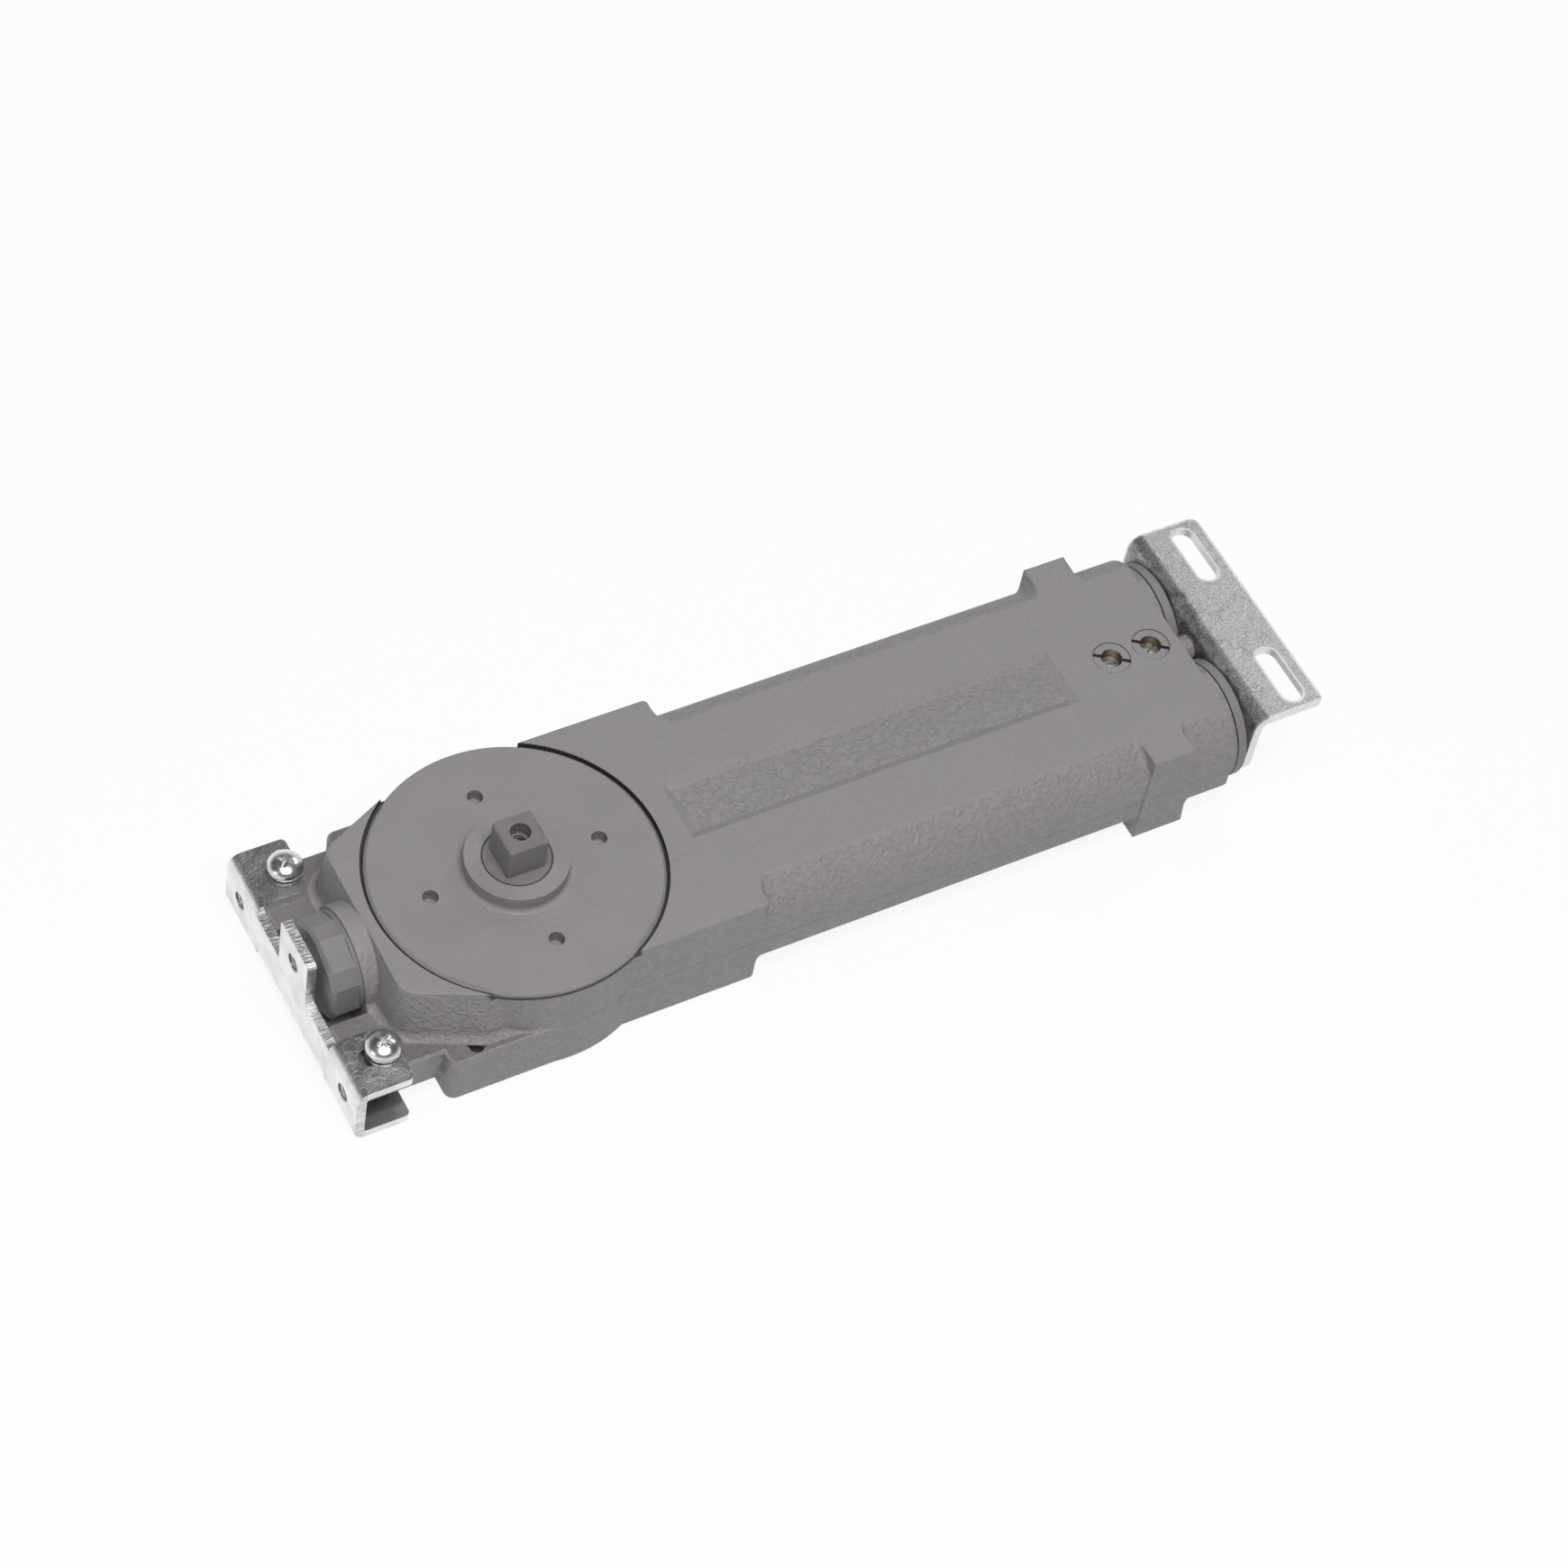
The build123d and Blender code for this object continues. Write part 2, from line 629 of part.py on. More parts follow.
# Hexagon plug with trimmed corners, and its seal
hex_axis = Plane(origin=(hex_seat_x, 0, hex_plug_height), x_dir=(0, 1, 0), z_dir=(1, 0, 0))
with BuildPart() as hex_plug:
    with BuildSketch(hex_axis):
        Circle(hex_thread_radius)
    extrude(amount=pocket_end_x - hex_seat_x)
    with BuildSketch(hex_axis):
        Circle(hex_washer_radius)
    extrude(amount=-hex_washer_length)
    with BuildSketch(hex_axis.offset(-hex_washer_length)):
        RegularPolygon(hex_across_flats / 2, 6, major_radius=False, rotation=hex_turn)
        RegularPolygon(hex_corner_apothem, 6, major_radius=False, rotation=hex_turn + 30, mode=Mode.INTERSECT)
    extrude(amount=-(hex_head_length - hex_washer_length))
    chamfer(hex_plug.faces().sort_by(Axis.X)[0].edges(), hex_chamfer)
hex_plug.part.label = "hex_plug"
export_step(hex_plug.part, "parts/hex_plug.step")
ring("hex_plug_seal", hex_thread_radius + seal_gap, hex_seal_radius, 0, hex_seal_thickness, hex_axis)

# Two bores, each with a rack piston, closing spring, seat and end plug
for side, sign in sides.items():
    axis_y = sign * bore_offset_y
    bore_axis = Plane(origin=(0, axis_y, bore_height), x_dir=(0, 1, 0), z_dir=(1, 0, 0))

    with BuildPart() as piston:
        # Round head
        with BuildSketch(bore_axis.offset(piston_start_x)):
            Circle(bore_radius - piston_gap)
        extrude(amount=piston_length)
        # Rack bar: teeth face the pinion
        with BuildSketch(Plane.XY.offset(rack_bottom)) as rack_section:
            with BuildLine():
                Polyline(
                    (rack_left_x, sign * rack_root),
                    (piston_start_x + 1, sign * rack_root),
                    (piston_start_x + 1, sign * (rack_root + rack_spine_thickness)),
                    (rack_spine_start_x, sign * (rack_root + rack_spine_thickness)),
                    (rack_spine_start_x - rack_spine_thickness + rack_back_thickness,
                     sign * (rack_root + rack_back_thickness)),
                    (rack_left_x, sign * (rack_root + rack_back_thickness)),
                    close=True,
                )
            make_face()
            for space in range(-rack_half_teeth, rack_half_teeth):
                middle = (space + 0.5) * tooth_pitch
                half_root = tooth_pitch / 4 + 1.25 * tooth_module * tan(radians(pressure_angle))
                half_tip = tooth_pitch / 4 - tooth_module * tan(radians(pressure_angle))
                with BuildLine():
                    Polyline(
                        (middle - half_root, sign * (rack_root + 1)),
                        (middle - half_root, sign * rack_root),
                        (middle - half_tip, sign * rack_tip),
                        (middle + half_tip, sign * rack_tip),
                        (middle + half_root, sign * rack_root),
                        (middle + half_root, sign * (rack_root + 1)),
                        close=True,
                    )
                make_face()
        extrude(amount=rack_height)
        # Ring groove
        with BuildSketch(bore_axis.offset(ring_groove_x)):
            Circle(bore_radius)
            Circle(bore_radius - piston_gap - ring_groove_depth, mode=Mode.SUBTRACT)
        extrude(amount=ring_groove_width, mode=Mode.SUBTRACT)
        # Check valve bore, its seat and the way out through the rack bar
        with BuildSketch(bore_axis.offset(piston_end_x)):
            Circle(check_bore_radius)
        extrude(amount=-check_bore_depth, mode=Mode.SUBTRACT)
        with BuildSketch(bore_axis.offset(piston_end_x)):
            Circle(check_hole_radius)
        extrude(amount=-piston_length - 4, mode=Mode.SUBTRACT)
        with BuildSketch(Plane.XY.offset(rack_bottom)):
            with Locations((piston_start_x - 4 + check_hole_radius, axis_y)):
                Circle(check_hole_radius)
        extrude(amount=rack_height, mode=Mode.SUBTRACT)
    piston.part.label = f"{side}_rack_piston"
    export_step(piston.part, f"parts/{side}_rack_piston.step")

    ring(f"{side}_piston_ring", bore_radius - piston_gap - ring_groove_depth + ring_side_gap, bore_radius - ring_gap,
         ring_groove_x + ring_side_gap / 2, ring_groove_width - ring_side_gap, bore_axis)

    with BuildPart() as check_ball:
        with Locations((ball_x, axis_y, bore_height)):
            Sphere(check_ball_radius)
    check_ball.part.label = f"{side}_check_ball"
    export_step(check_ball.part, f"parts/{side}_check_ball.step")
    ring(f"{side}_ball_retainer", retainer_hole_radius, check_bore_radius - screw_hole_gap,
         piston_end_x - retainer_length, retainer_length, bore_axis)

    # Closing spring between the piston head and its seat
    with BuildPart() as spring:
        with BuildLine() as coil_line:
            Polyline(*[
                (
                    spring_start_x + spring_length * step / (spring_turns * coil_steps),
                    axis_y + spring_mean_radius * cos(2 * pi * step / coil_steps),
                    bore_height + spring_mean_radius * sin(2 * pi * step / coil_steps),
                )
                for step in range(spring_turns * coil_steps + 1)
            ])
        with BuildSketch(coil_line.line ^ 0):
            RegularPolygon(spring_wire_radius, wire_sides)
        sweep(transition=Transition.RIGHT)
    spring.part.label = f"{side}_closing_spring"
    export_step(spring.part, f"parts/{side}_closing_spring.step")

    ring(f"{side}_spring_seat", seat_hole_radius, bore_radius - seat_edge_gap, seat_face_x, seat_thickness, bore_axis)

    with BuildPart() as end_plug:
        with BuildSketch(bore_axis.offset(plug_inner_x)):
            Circle(plug_thread_radius)
        extrude(amount=plug_face_x - plug_inner_x)
        with BuildSketch(bore_axis.offset(plug_face_x)):
            Circle(spigot_radius)
        extrude(amount=-plug_flange_length)
        with BuildSketch(bore_axis.offset(plug_face_x)):
            RegularPolygon(plug_recess_radius, 6, major_radius=False)
        extrude(amount=-plug_recess_depth, mode=Mode.SUBTRACT)
        chamfer(end_plug.faces().sort_by(Axis.X)[-1].outer_wire().edges(), plug_chamfer)
    end_plug.part.label = f"{side}_end_plug"
    export_step(end_plug.part, f"parts/{side}_end_plug.step")
    ring(f"{side}_plug_seal", plug_thread_radius + seal_gap, spigot_radius - plug_seal_inset, spigot_end_x,
         plug_seal_thickness, bore_axis)

# Two regulating valves: threaded bushing, needle and needle seal
for name, x, bushing_angle, needle_angle in zip(valve_names, valve_x, bushing_slot_angles, needle_slot_angles):
    bushing_top = body_height - bushing_inset
    head_top = bushing_top - needle_recess
    with BuildPart() as bushing:
        with BuildSketch(Plane.XY.offset(bushing_top - bushing_length)):
            with Locations((x, 0)):
                Circle(bushing_radius)
                Circle(needle_head_radius + needle_gap, mode=Mode.SUBTRACT)
        extrude(amount=bushing_length)
        chamfer(bushing.edges().group_by(Axis.Z)[-1].sort_by(SortBy.RADIUS)[-1], bushing_rim_cut)
        with BuildSketch(Plane.XY.offset(bushing_top)):
            with Locations((x, 0)):
                Rectangle(2 * bushing_radius + 1, bushing_slot_width, rotation=bushing_angle)
        extrude(amount=-bushing_slot_depth, mode=Mode.SUBTRACT)
    bushing.part.label = f"{name}_bushing"
    export_step(bushing.part, f"parts/{name}_bushing.step")

    with BuildPart() as needle:
        with BuildSketch(Plane.XY.offset(head_top)):
            with Locations((x, 0)):
                Circle(needle_head_radius)
        extrude(amount=-needle_head_length)
        with BuildSketch(Plane.XY.offset(head_top - needle_head_length)):
            with Locations((x, 0)):
                Circle(needle_stem_radius)
        extrude(amount=-(head_top - needle_head_length - needle_shoulder))
        with BuildSketch(Plane.XY.offset(needle_shoulder)):
            with Locations((x, 0)):
                Circle(needle_tip_radius)
        extrude(amount=-needle_tip_length, taper=needle_taper)
        with BuildSketch(Plane.XY.offset(head_top)):
            with Locations((x, 0)):
                Rectangle(2 * needle_head_radius + 1, needle_slot_width, rotation=needle_angle)
        extrude(amount=-needle_slot_depth, mode=Mode.SUBTRACT)
    needle.part.label = f"{name}_needle"
    export_step(needle.part, f"parts/{name}_needle.step")

    valve_axis = Plane(origin=(x, 0, 0), z_dir=(0, 0, 1))
    ring(f"{name}_needle_seal", needle_stem_radius, stem_bore_radius - needle_ring_gap, needle_ring_base,
         needle_ring_height, valve_axis)


def folded_sheet(near_y, corner_x, corner_z, end_x, end_z, sheet, bend_radius):
    """L-shaped section of folded sheet, given its outer corner, the far ends of its two legs and the bend."""
    inner_x = corner_x + sheet if end_x > corner_x else corner_x - sheet
    inner_z = corner_z + sheet if end_z > corner_z else corner_z - sheet
    with BuildSketch(Plane.XZ.offset(-near_y)) as section:
        with BuildLine():
            FilletPolyline((end_x, corner_z), (corner_x, corner_z), (corner_x, end_z), radius=bend_radius)
            Line((corner_x, end_z), (inner_x, end_z))
            FilletPolyline((inner_x, end_z), (inner_x, inner_z), (end_x, inner_z), radius=bend_radius - sheet)
            Line((end_x, inner_z), (end_x, corner_z))
        make_face()
    return section.sketch


# Channel bracket: a plate with two tabs folded in above, two below, and an ear in the middle
with BuildPart() as channel_bracket:
    with BuildSketch(Plane.YZ.offset(channel_face_x)):
        with Locations((0, (plate_top + plate_bottom) / 2)):
            Rectangle(2 * top_tab_start_y, plate_top - plate_bottom)
        with Locations((0, (plate_bottom + body_height) / 2)):
            Rectangle(2 * ear_half_width, body_height - plate_bottom)
    extrude(amount=channel_sheet)
    for sign in sides.values():
        for tab_face_z, tab_start_y in ((0, bottom_tab_start_y), (channel_top, top_tab_start_y)):
            fold = folded_sheet(sign * channel_half_length, channel_face_x, tab_face_z, channel_tab_end_x,
                                plate_hole_height, channel_sheet, channel_bend_radius)
            extrude(fold, amount=sign * (channel_half_length - tab_start_y))
    fillet(channel_bracket.edges().filter_by(Axis.X).group_by(Axis.Z)[-1], ear_corner_radius)
    tab_corners = channel_bracket.edges().filter_by(Axis.Z).group_by(Axis.X)[-1]
    upper_corners = tab_corners.filter_by(lambda e: e.center().Z > ledge_height).sort_by(Axis.Y)
    chamfer(upper_corners[2], tab_corner_cut)
    tab_corners = channel_bracket.edges().filter_by(Axis.Z).group_by(Axis.X)[-1].sort_by(Axis.Y)
    fillet(tab_corners[:2] + tab_corners[-2:], tab_corner_radius)
    with BuildSketch(Plane.YZ.offset(channel_face_x)):
        with Locations(
            (-plate_hole_spacing / 2, plate_hole_height),
            (plate_hole_spacing / 2, plate_hole_height),
            (0, ear_hole_height),
        ):
            Circle(plate_hole_radius)
    extrude(amount=channel_sheet, mode=Mode.SUBTRACT)
    with BuildSketch(Plane.XY.offset(channel_top)):
        with Locations((screw_x, sides["far"] * screw_y)):
            Circle(plate_hole_radius)
        with Locations((screw_x + tab_slot_shift, sides["near"] * screw_y)):
            SlotOverall(tab_slot_length, 2 * plate_hole_radius)
    extrude(amount=-channel_sheet, mode=Mode.SUBTRACT)
channel_bracket.part.label = "channel_bracket"
export_step(channel_bracket.part, "parts/channel_bracket.step")


def washer(name, radius, bottom, thickness, split=0.0):
    """Pair of washers on the channel bracket's screws, one at each end."""
    with BuildPart() as pair:
        for sign in sides.values():
            with BuildSketch(Plane.XY.offset(bottom)):
                with Locations((screw_x, sign * screw_y)):
                    Circle(radius)
                    Circle(screw_radius + washer_hole_gap, mode=Mode.SUBTRACT)
                if split:
                    with Locations((screw_x, sign * (screw_y + radius))):
                        Rectangle(split, 2 * radius, mode=Mode.SUBTRACT)
            extrude(amount=thickness)
    pair.part.label = name
    export_step(pair.part, f"parts/{name}.step")


washer("flat_washers", flat_washer_radius, channel_top, flat_washer_thickness)
washer("spring_washers", spring_washer_radius, channel_top + flat_washer_thickness, spring_washer_thickness,
       spring_washer_split)

# Channel bracket screws: pan heads above the washers, shanks down into the shelf
with BuildPart() as bracket_screws:
    for sign in sides.values():
        with BuildSketch(Plane.XY.offset(screw_bottom)):
            with Locations((screw_x, sign * screw_y)):
                Circle(screw_radius)
        extrude(amount=screw_seat - screw_bottom)
        with BuildSketch(Plane.XY.offset(screw_seat)):
            with Locations((screw_x, sign * screw_y)):
                Circle(screw_head_radius)
        extrude(amount=screw_head_height)
    head_rims = bracket_screws.edges().group_by(Axis.Z)[-1]
    fillet(head_rims, screw_head_dome)
    with BuildSketch(Plane.XY.offset(screw_seat + screw_head_height)):
        with Locations(*[(screw_x, sign * screw_y) for sign in sides.values()]):
            Rectangle(cross_length, cross_width)
            Rectangle(cross_width, cross_length)
    extrude(amount=-cross_depth, mode=Mode.SUBTRACT)
bracket_screws.part.label = "bracket_screws"
export_step(bracket_screws.part, "parts/bracket_screws.step")

# Angle bracket across the end plugs, with two slots for fixing to the tube
with BuildPart() as angle_bracket:
    bend = folded_sheet(angle_half_length, plug_face_x, body_height, plug_face_x + angle_reach,
                        body_height - angle_drop, angle_sheet, angle_bend_radius)
    extrude(bend, amount=2 * angle_half_length)
    reach_corners = angle_bracket.edges().filter_by(Axis.Z).group_by(Axis.X)[-1]
    fillet(reach_corners.sort_by(Axis.Y)[-1], angle_far_corner_radius)
    reach_corners = angle_bracket.edges().filter_by(Axis.Z).group_by(Axis.X)[-1]
    fillet(reach_corners.sort_by(Axis.Y)[0], angle_near_corner_radius)
    drop_corners = angle_bracket.edges().filter_by(Axis.X).group_by(Axis.Z)[0]
    fillet(drop_corners, angle_far_corner_radius)
    with BuildSketch(Plane.XY.offset(body_height)):
        with Locations((angle_slot_x, 0)):
            with GridLocations(0, angle_slot_spacing, 1, 2):
                SlotOverall(angle_slot_length, angle_slot_width, rotation=90)
    extrude(amount=-angle_sheet, mode=Mode.SUBTRACT)
    with BuildSketch(Plane.YZ.offset(plug_face_x)):
        with Locations((0, bore_height)):
            with GridLocations(0, angle_screw_spread, 1, 2):
                Circle(angle_screw_radius + washer_hole_gap)
    extrude(amount=angle_sheet, mode=Mode.SUBTRACT)
angle_bracket.part.label = "angle_bracket"
export_step(angle_bracket.part, "parts/angle_bracket.step")

# Two screws through the angle bracket into the bosses between the plugs
with BuildPart() as angle_screws:
    with BuildSketch(Plane.YZ.offset(plug_face_x + angle_sheet)):
        with Locations((0, bore_height)):
            with GridLocations(0, angle_screw_spread, 1, 2):
                Circle(angle_screw_radius)
    extrude(amount=-angle_screw_length)
    with BuildSketch(Plane.YZ.offset(plug_face_x + angle_sheet)):
        with Locations((0, bore_height)):
            with GridLocations(0, angle_screw_spread, 1, 2):
                Circle(angle_screw_head_radius)
    extrude(amount=angle_screw_head_height)
    fillet(angle_screws.edges().group_by(Axis.X)[-1], angle_screw_dome)
    with BuildSketch(Plane.YZ.offset(plug_face_x + angle_sheet + angle_screw_head_height)):
        with Locations((0, bore_height)):
            with GridLocations(0, angle_screw_spread, 1, 2):
                Rectangle(cross_length, cross_width)
                Rectangle(cross_width, cross_length)
    extrude(amount=-cross_depth, mode=Mode.SUBTRACT)
angle_screws.part.label = "angle_screws"
export_step(angle_screws.part, "parts/angle_screws.step")
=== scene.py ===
import math
import bmesh
import bpy
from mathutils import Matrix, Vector


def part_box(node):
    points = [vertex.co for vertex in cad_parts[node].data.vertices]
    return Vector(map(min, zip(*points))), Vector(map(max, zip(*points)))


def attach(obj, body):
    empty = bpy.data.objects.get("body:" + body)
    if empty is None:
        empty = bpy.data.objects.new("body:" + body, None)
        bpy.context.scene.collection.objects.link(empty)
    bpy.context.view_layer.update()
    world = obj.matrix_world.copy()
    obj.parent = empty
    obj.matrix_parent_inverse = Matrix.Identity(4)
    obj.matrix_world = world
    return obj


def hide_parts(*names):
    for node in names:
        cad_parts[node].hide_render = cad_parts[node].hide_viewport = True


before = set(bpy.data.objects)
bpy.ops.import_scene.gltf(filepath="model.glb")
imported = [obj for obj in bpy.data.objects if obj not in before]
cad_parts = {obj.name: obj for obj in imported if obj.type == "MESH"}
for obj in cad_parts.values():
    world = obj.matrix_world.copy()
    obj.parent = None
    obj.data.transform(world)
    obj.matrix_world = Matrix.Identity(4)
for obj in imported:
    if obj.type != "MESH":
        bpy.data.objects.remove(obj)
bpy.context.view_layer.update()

mm = 0.001
print("frame loaded:", len(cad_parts), "nodes")


# A wire is one output socket; sums on wires add Math nodes to their board
class Wire:
    def __init__(self, board, socket):
        self.board = board
        self.socket = socket

    def maths(self, operation, other, swap=False):
        pair = [other, self] if swap else [self, other]
        return self.board.add("ShaderNodeMath", {"operation": operation}, {0: pair[0], 1: pair[1]})[0]

    def __add__(self, other):
        return self.maths("ADD", other)

    def __radd__(self, other):
        return self.maths("ADD", other, True)

    def __sub__(self, other):
        return self.maths("SUBTRACT", other)

    def __rsub__(self, other):
        return self.maths("SUBTRACT", other, True)

    def __mul__(self, other):
        return self.maths("MULTIPLY", other)

    def __rmul__(self, other):
        return self.maths("MULTIPLY", other, True)

    def __abs__(self):
        return self.maths("ABSOLUTE", 0.0)

    def most(self, other):
        return self.maths("MAXIMUM", other)


# A board is a node tree that is filled by one method
class Board:
    def __init__(self, tree):
        self.tree = tree
        self.tree.nodes.clear()

    # a node's type, its settings, then values or wires for its sockets
    def add(self, kind, settings=None, sockets=None):
        node = self.tree.nodes.new(kind)
        for key, value in (settings or {}).items():
            setattr(node, key, value)
        for key, value in (sockets or {}).items():
            if isinstance(value, Wire):
                self.tree.links.new(value.socket, node.inputs[key])
            else:
                node.inputs[key].default_value = value
        return [Wire(self, output) for output in node.outputs]

    def split(self, vector):
        return self.add("ShaderNodeSeparateXYZ", None, {0: vector})

    def step(self, value, low, high, most=1.0):
        return self.add("ShaderNodeMapRange", {"interpolation_type": "SMOOTHSTEP"},
                        {"Value": value, "From Min": low, "From Max": high, "To Min": 0.0, "To Max": most})[0]


# A paint is a material on a board, laid out in the object's own coordinates
class Paint(Board):
    def __init__(self, name):
        self.material = bpy.data.materials.new(name)
        self.material.use_nodes = True
        super().__init__(self.material.node_tree)
        self.place = self.add("ShaderNodeTexCoord")[3]

    def noise(self, scale, detail=3.0, rough=0.5, warp=0.0, stretch=None):
        place = self.place
        if stretch:
            place = self.add("ShaderNodeMapping", None, {"Vector": place, "Scale": stretch})[0]
        return self.add("ShaderNodeTexNoise", {"noise_dimensions": "3D"},
                        {"Vector": place, "Scale": scale, "Detail": detail, "Roughness": rough,
                         "Distortion": warp})[0]

    # 1 where the value is under the edge, 0 past it
    def under(self, value, edge, blur):
        return self.step(value, edge + blur, edge - blur)

    def length(self, vector):
        return self.add("ShaderNodeVectorMath", {"operation": "LENGTH"}, {0: vector})[1]

    # the distance from the line through the origin along X or Z
    def reach(self, axis):
        scale = (0.0, 1.0, 1.0) if axis == "X" else (1.0, 1.0, 0.0)
        return self.length(self.add("ShaderNodeMapping", None, {"Vector": self.place, "Scale": scale})[0])

    def facing(self):
        return self.split(self.add("ShaderNodeNewGeometry")[1])

    def blend(self, factor, first, second):
        return self.add("ShaderNodeMix", {"data_type": "RGBA"}, {0: factor, 6: first, 7: second})[2]

    def finish(self, height, sockets):
        relief = self.add("ShaderNodeBump", None, {"Height": height, "Distance": 1.0, "Strength": 1.0})[0]
        surface = self.add("ShaderNodeBsdfPrincipled", None, {**sockets, "Normal": relief})[0]
        self.add("ShaderNodeOutputMaterial", None, {"Surface": surface})
        return self.material


def colour(red, green, blue):
    linear = [((c / 255 + 0.055) / 1.055) ** 2.4 if c > 10 else c / 255 / 12.92 for c in (red, green, blue)]
    return (*linear, 1.0)


# Grey paint over sand-cast iron: coarse on drafted sides, fine on the machined top, roughest in the panel
castPaint = {
    "tint": colour(151, 147, 148), "hollowShade": colour(136, 132, 133), "high": colour(157, 153, 154),
    "shaded": colour(118, 113, 114), "groove": colour(66, 62, 63), "roughness": 0.5, "refraction": 1.42,
    "leatherScale": 760.0, "fineScale": 2400.0, "broadScale": 70.0, "hammerScale": 480.0, "waverScale": 120.0,
    "sideRelief": 0.8 * mm, "topRelief": 0.26 * mm, "panelRelief": 1.1 * mm, "fineRelief": 0.1 * mm,
    "topFineRelief": 0.08 * mm, "blur": 0.1 * mm, "flatFacing": (0.985, 0.998), "smoothFrom": 34.8 * mm,
    "rimRadius": 42.3 * mm, "rimHeight": 33.0 * mm, "grooveTop": 35.0 * mm, "grooveFade": 0.4 * mm,
    "panelMiddle": 110.8 * mm, "panelHalfLength": 62.2 * mm, "panelHalfWidth": 10.2 * mm,
    "panelFloor": 33.95 * mm, "ledgeHeight": 18.0 * mm, "bossStart": -44.0 * mm, "bossFade": 2.0 * mm,
    "partingHeight": 17.75 * mm, "partingStep": 0.5 * mm, "partingHalfWidth": 0.25 * mm,
    "partingWaver": 0.9 * mm}


def makeCastPaint():
    sizes, paint = castPaint, Paint("castPaint")
    x, y, z = paint.split(paint.place)
    flat = paint.step(paint.facing()[2], *sizes["flatFacing"])
    blur = sizes["blur"]
    # where the casting is machined or calmer than on its sides
    top = paint.step(z, sizes["smoothFrom"], sizes["smoothFrom"] + 3 * blur)
    rim = (paint.under(paint.reach("Z"), sizes["rimRadius"], blur)
           * paint.step(z, sizes["rimHeight"] - 2 * blur, sizes["rimHeight"]))
    inPanel = (paint.under(abs(y), sizes["panelHalfWidth"], blur)
               * paint.under(abs(x - sizes["panelMiddle"]), sizes["panelHalfLength"], blur))
    panel = inPanel * flat * paint.step(z, sizes["panelFloor"] + 2 * blur, sizes["panelFloor"] + blur)
    boss = paint.step(x, sizes["bossStart"] + sizes["bossFade"], sizes["bossStart"])
    calm = top.most(rim).most(inPanel * 0.85).most(boss * 0.7)
    leather = paint.noise(sizes["leatherScale"], 1.5, 0.5, 0.5)
    fine = paint.noise(sizes["fineScale"], 1.0, 0.5)
    broad = paint.noise(sizes["broadScale"], 3.0, 0.5)
    rough = (leather - 0.5) * sizes["sideRelief"] + fine * sizes["fineRelief"]
    smooth = (leather - 0.5) * sizes["topRelief"] + fine * sizes["topFineRelief"]
    hammer = paint.noise(sizes["hammerScale"], 3.0, 0.6, 1.0)
    hammered = (hammer - 0.5) * sizes["panelRelief"] + fine * sizes["fineRelief"]
    # the mould's two halves meet half way up the sides
    waver = (paint.noise(sizes["waverScale"], 3.0, 0.6) - 0.5) * sizes["partingWaver"]
    split = z - sizes["partingHeight"] + waver
    parting = paint.under(split, 0.0, sizes["partingHalfWidth"]) * sizes["partingStep"]
    height = (1.0 - calm) * rough + calm * smooth + (1.0 - flat) * parting
    height = (1.0 - panel) * height + panel * hammered
    # painted shade in the dips of the relief, and painted highlight on its crests mixed with random paler
    # patches
    dipShade = paint.step(leather, 0.56, 0.4) * (1.0 - calm * 0.75)
    crestHighlight = paint.step(leather, 0.5, 0.68) * (1.0 - calm * 0.6)
    tint = paint.blend(dipShade * 0.4, sizes["tint"], sizes["hollowShade"])
    tint = paint.blend(crestHighlight * 0.35 + paint.step(broad, 0.45, 0.65) * 0.2, tint, sizes["high"])
    # painted shade on the ledge below the plateau, varied by random broad patches
    ledgeShade = flat * paint.under(abs(z - sizes["ledgeHeight"]), 3 * blur, blur)
    tint = paint.blend(ledgeShade * (paint.step(broad, 0.3, 0.6) * 0.3 + 0.6), tint, sizes["shaded"])
    # painted shadow in the groove round the cover
    shadedGroove = rim * (1.0 - paint.step(z, sizes["grooveTop"], sizes["grooveTop"] + sizes["grooveFade"]))
    tint = paint.blend(shadedGroove, tint, sizes["groove"])
    return paint.finish(height, {"Base Color": tint, "IOR": sizes["refraction"],
                                 "Roughness": fine * 0.1 + broad * 0.1 + (sizes["roughness"] - 0.1)})


# The same paint over turned steel, with faint tool rings and, on the cover, a painted shadow ring round the
# spindle
turnedPaint = {"roughness": 0.5, "refraction": 1.42, "relief": 0.24 * mm, "fineRelief": 0.06 * mm,
               "ringPitch": 0.9 * mm, "ringDepth": 0.004 * mm, "softScale": 900.0, "fineScale": 3400.0,
               "broadScale": 60.0, "gapShade": colour(70, 66, 67), "gapRadius": 9.85 * mm, "gapFade": 0.1 * mm}


def makeTurnedPaint(name, tint, shade, ringAxis="Z", ringDepth=0.0, gapRadius=0.0):
    sizes, paint = turnedPaint, Paint(name)
    fine = paint.noise(sizes["fineScale"], 2.0, 0.6)
    soft = paint.noise(sizes["softScale"], 2.0, 0.5)
    broad = paint.noise(sizes["broadScale"], 3.0, 0.5)
    radius = paint.reach(ringAxis)
    rings = (radius * (2 * math.pi / sizes["ringPitch"])).maths("SINE", 0.0)
    height = soft * sizes["relief"] + fine * sizes["fineRelief"] + rings * ringDepth
    tone = paint.blend(paint.step(broad, 0.4, 0.65) * 0.5, tint, shade)
    # painted shadow ring in the gap between the cover and the spindle
    if gapRadius:
        tone = paint.blend(paint.step(radius, gapRadius, gapRadius - sizes["gapFade"]), tone, sizes["gapShade"])
    return paint.finish(height, {"Base Color": tone, "IOR": sizes["refraction"],
                                 "Roughness": fine * 0.1 + broad * 0.1 + (sizes["roughness"] - 0.1)})
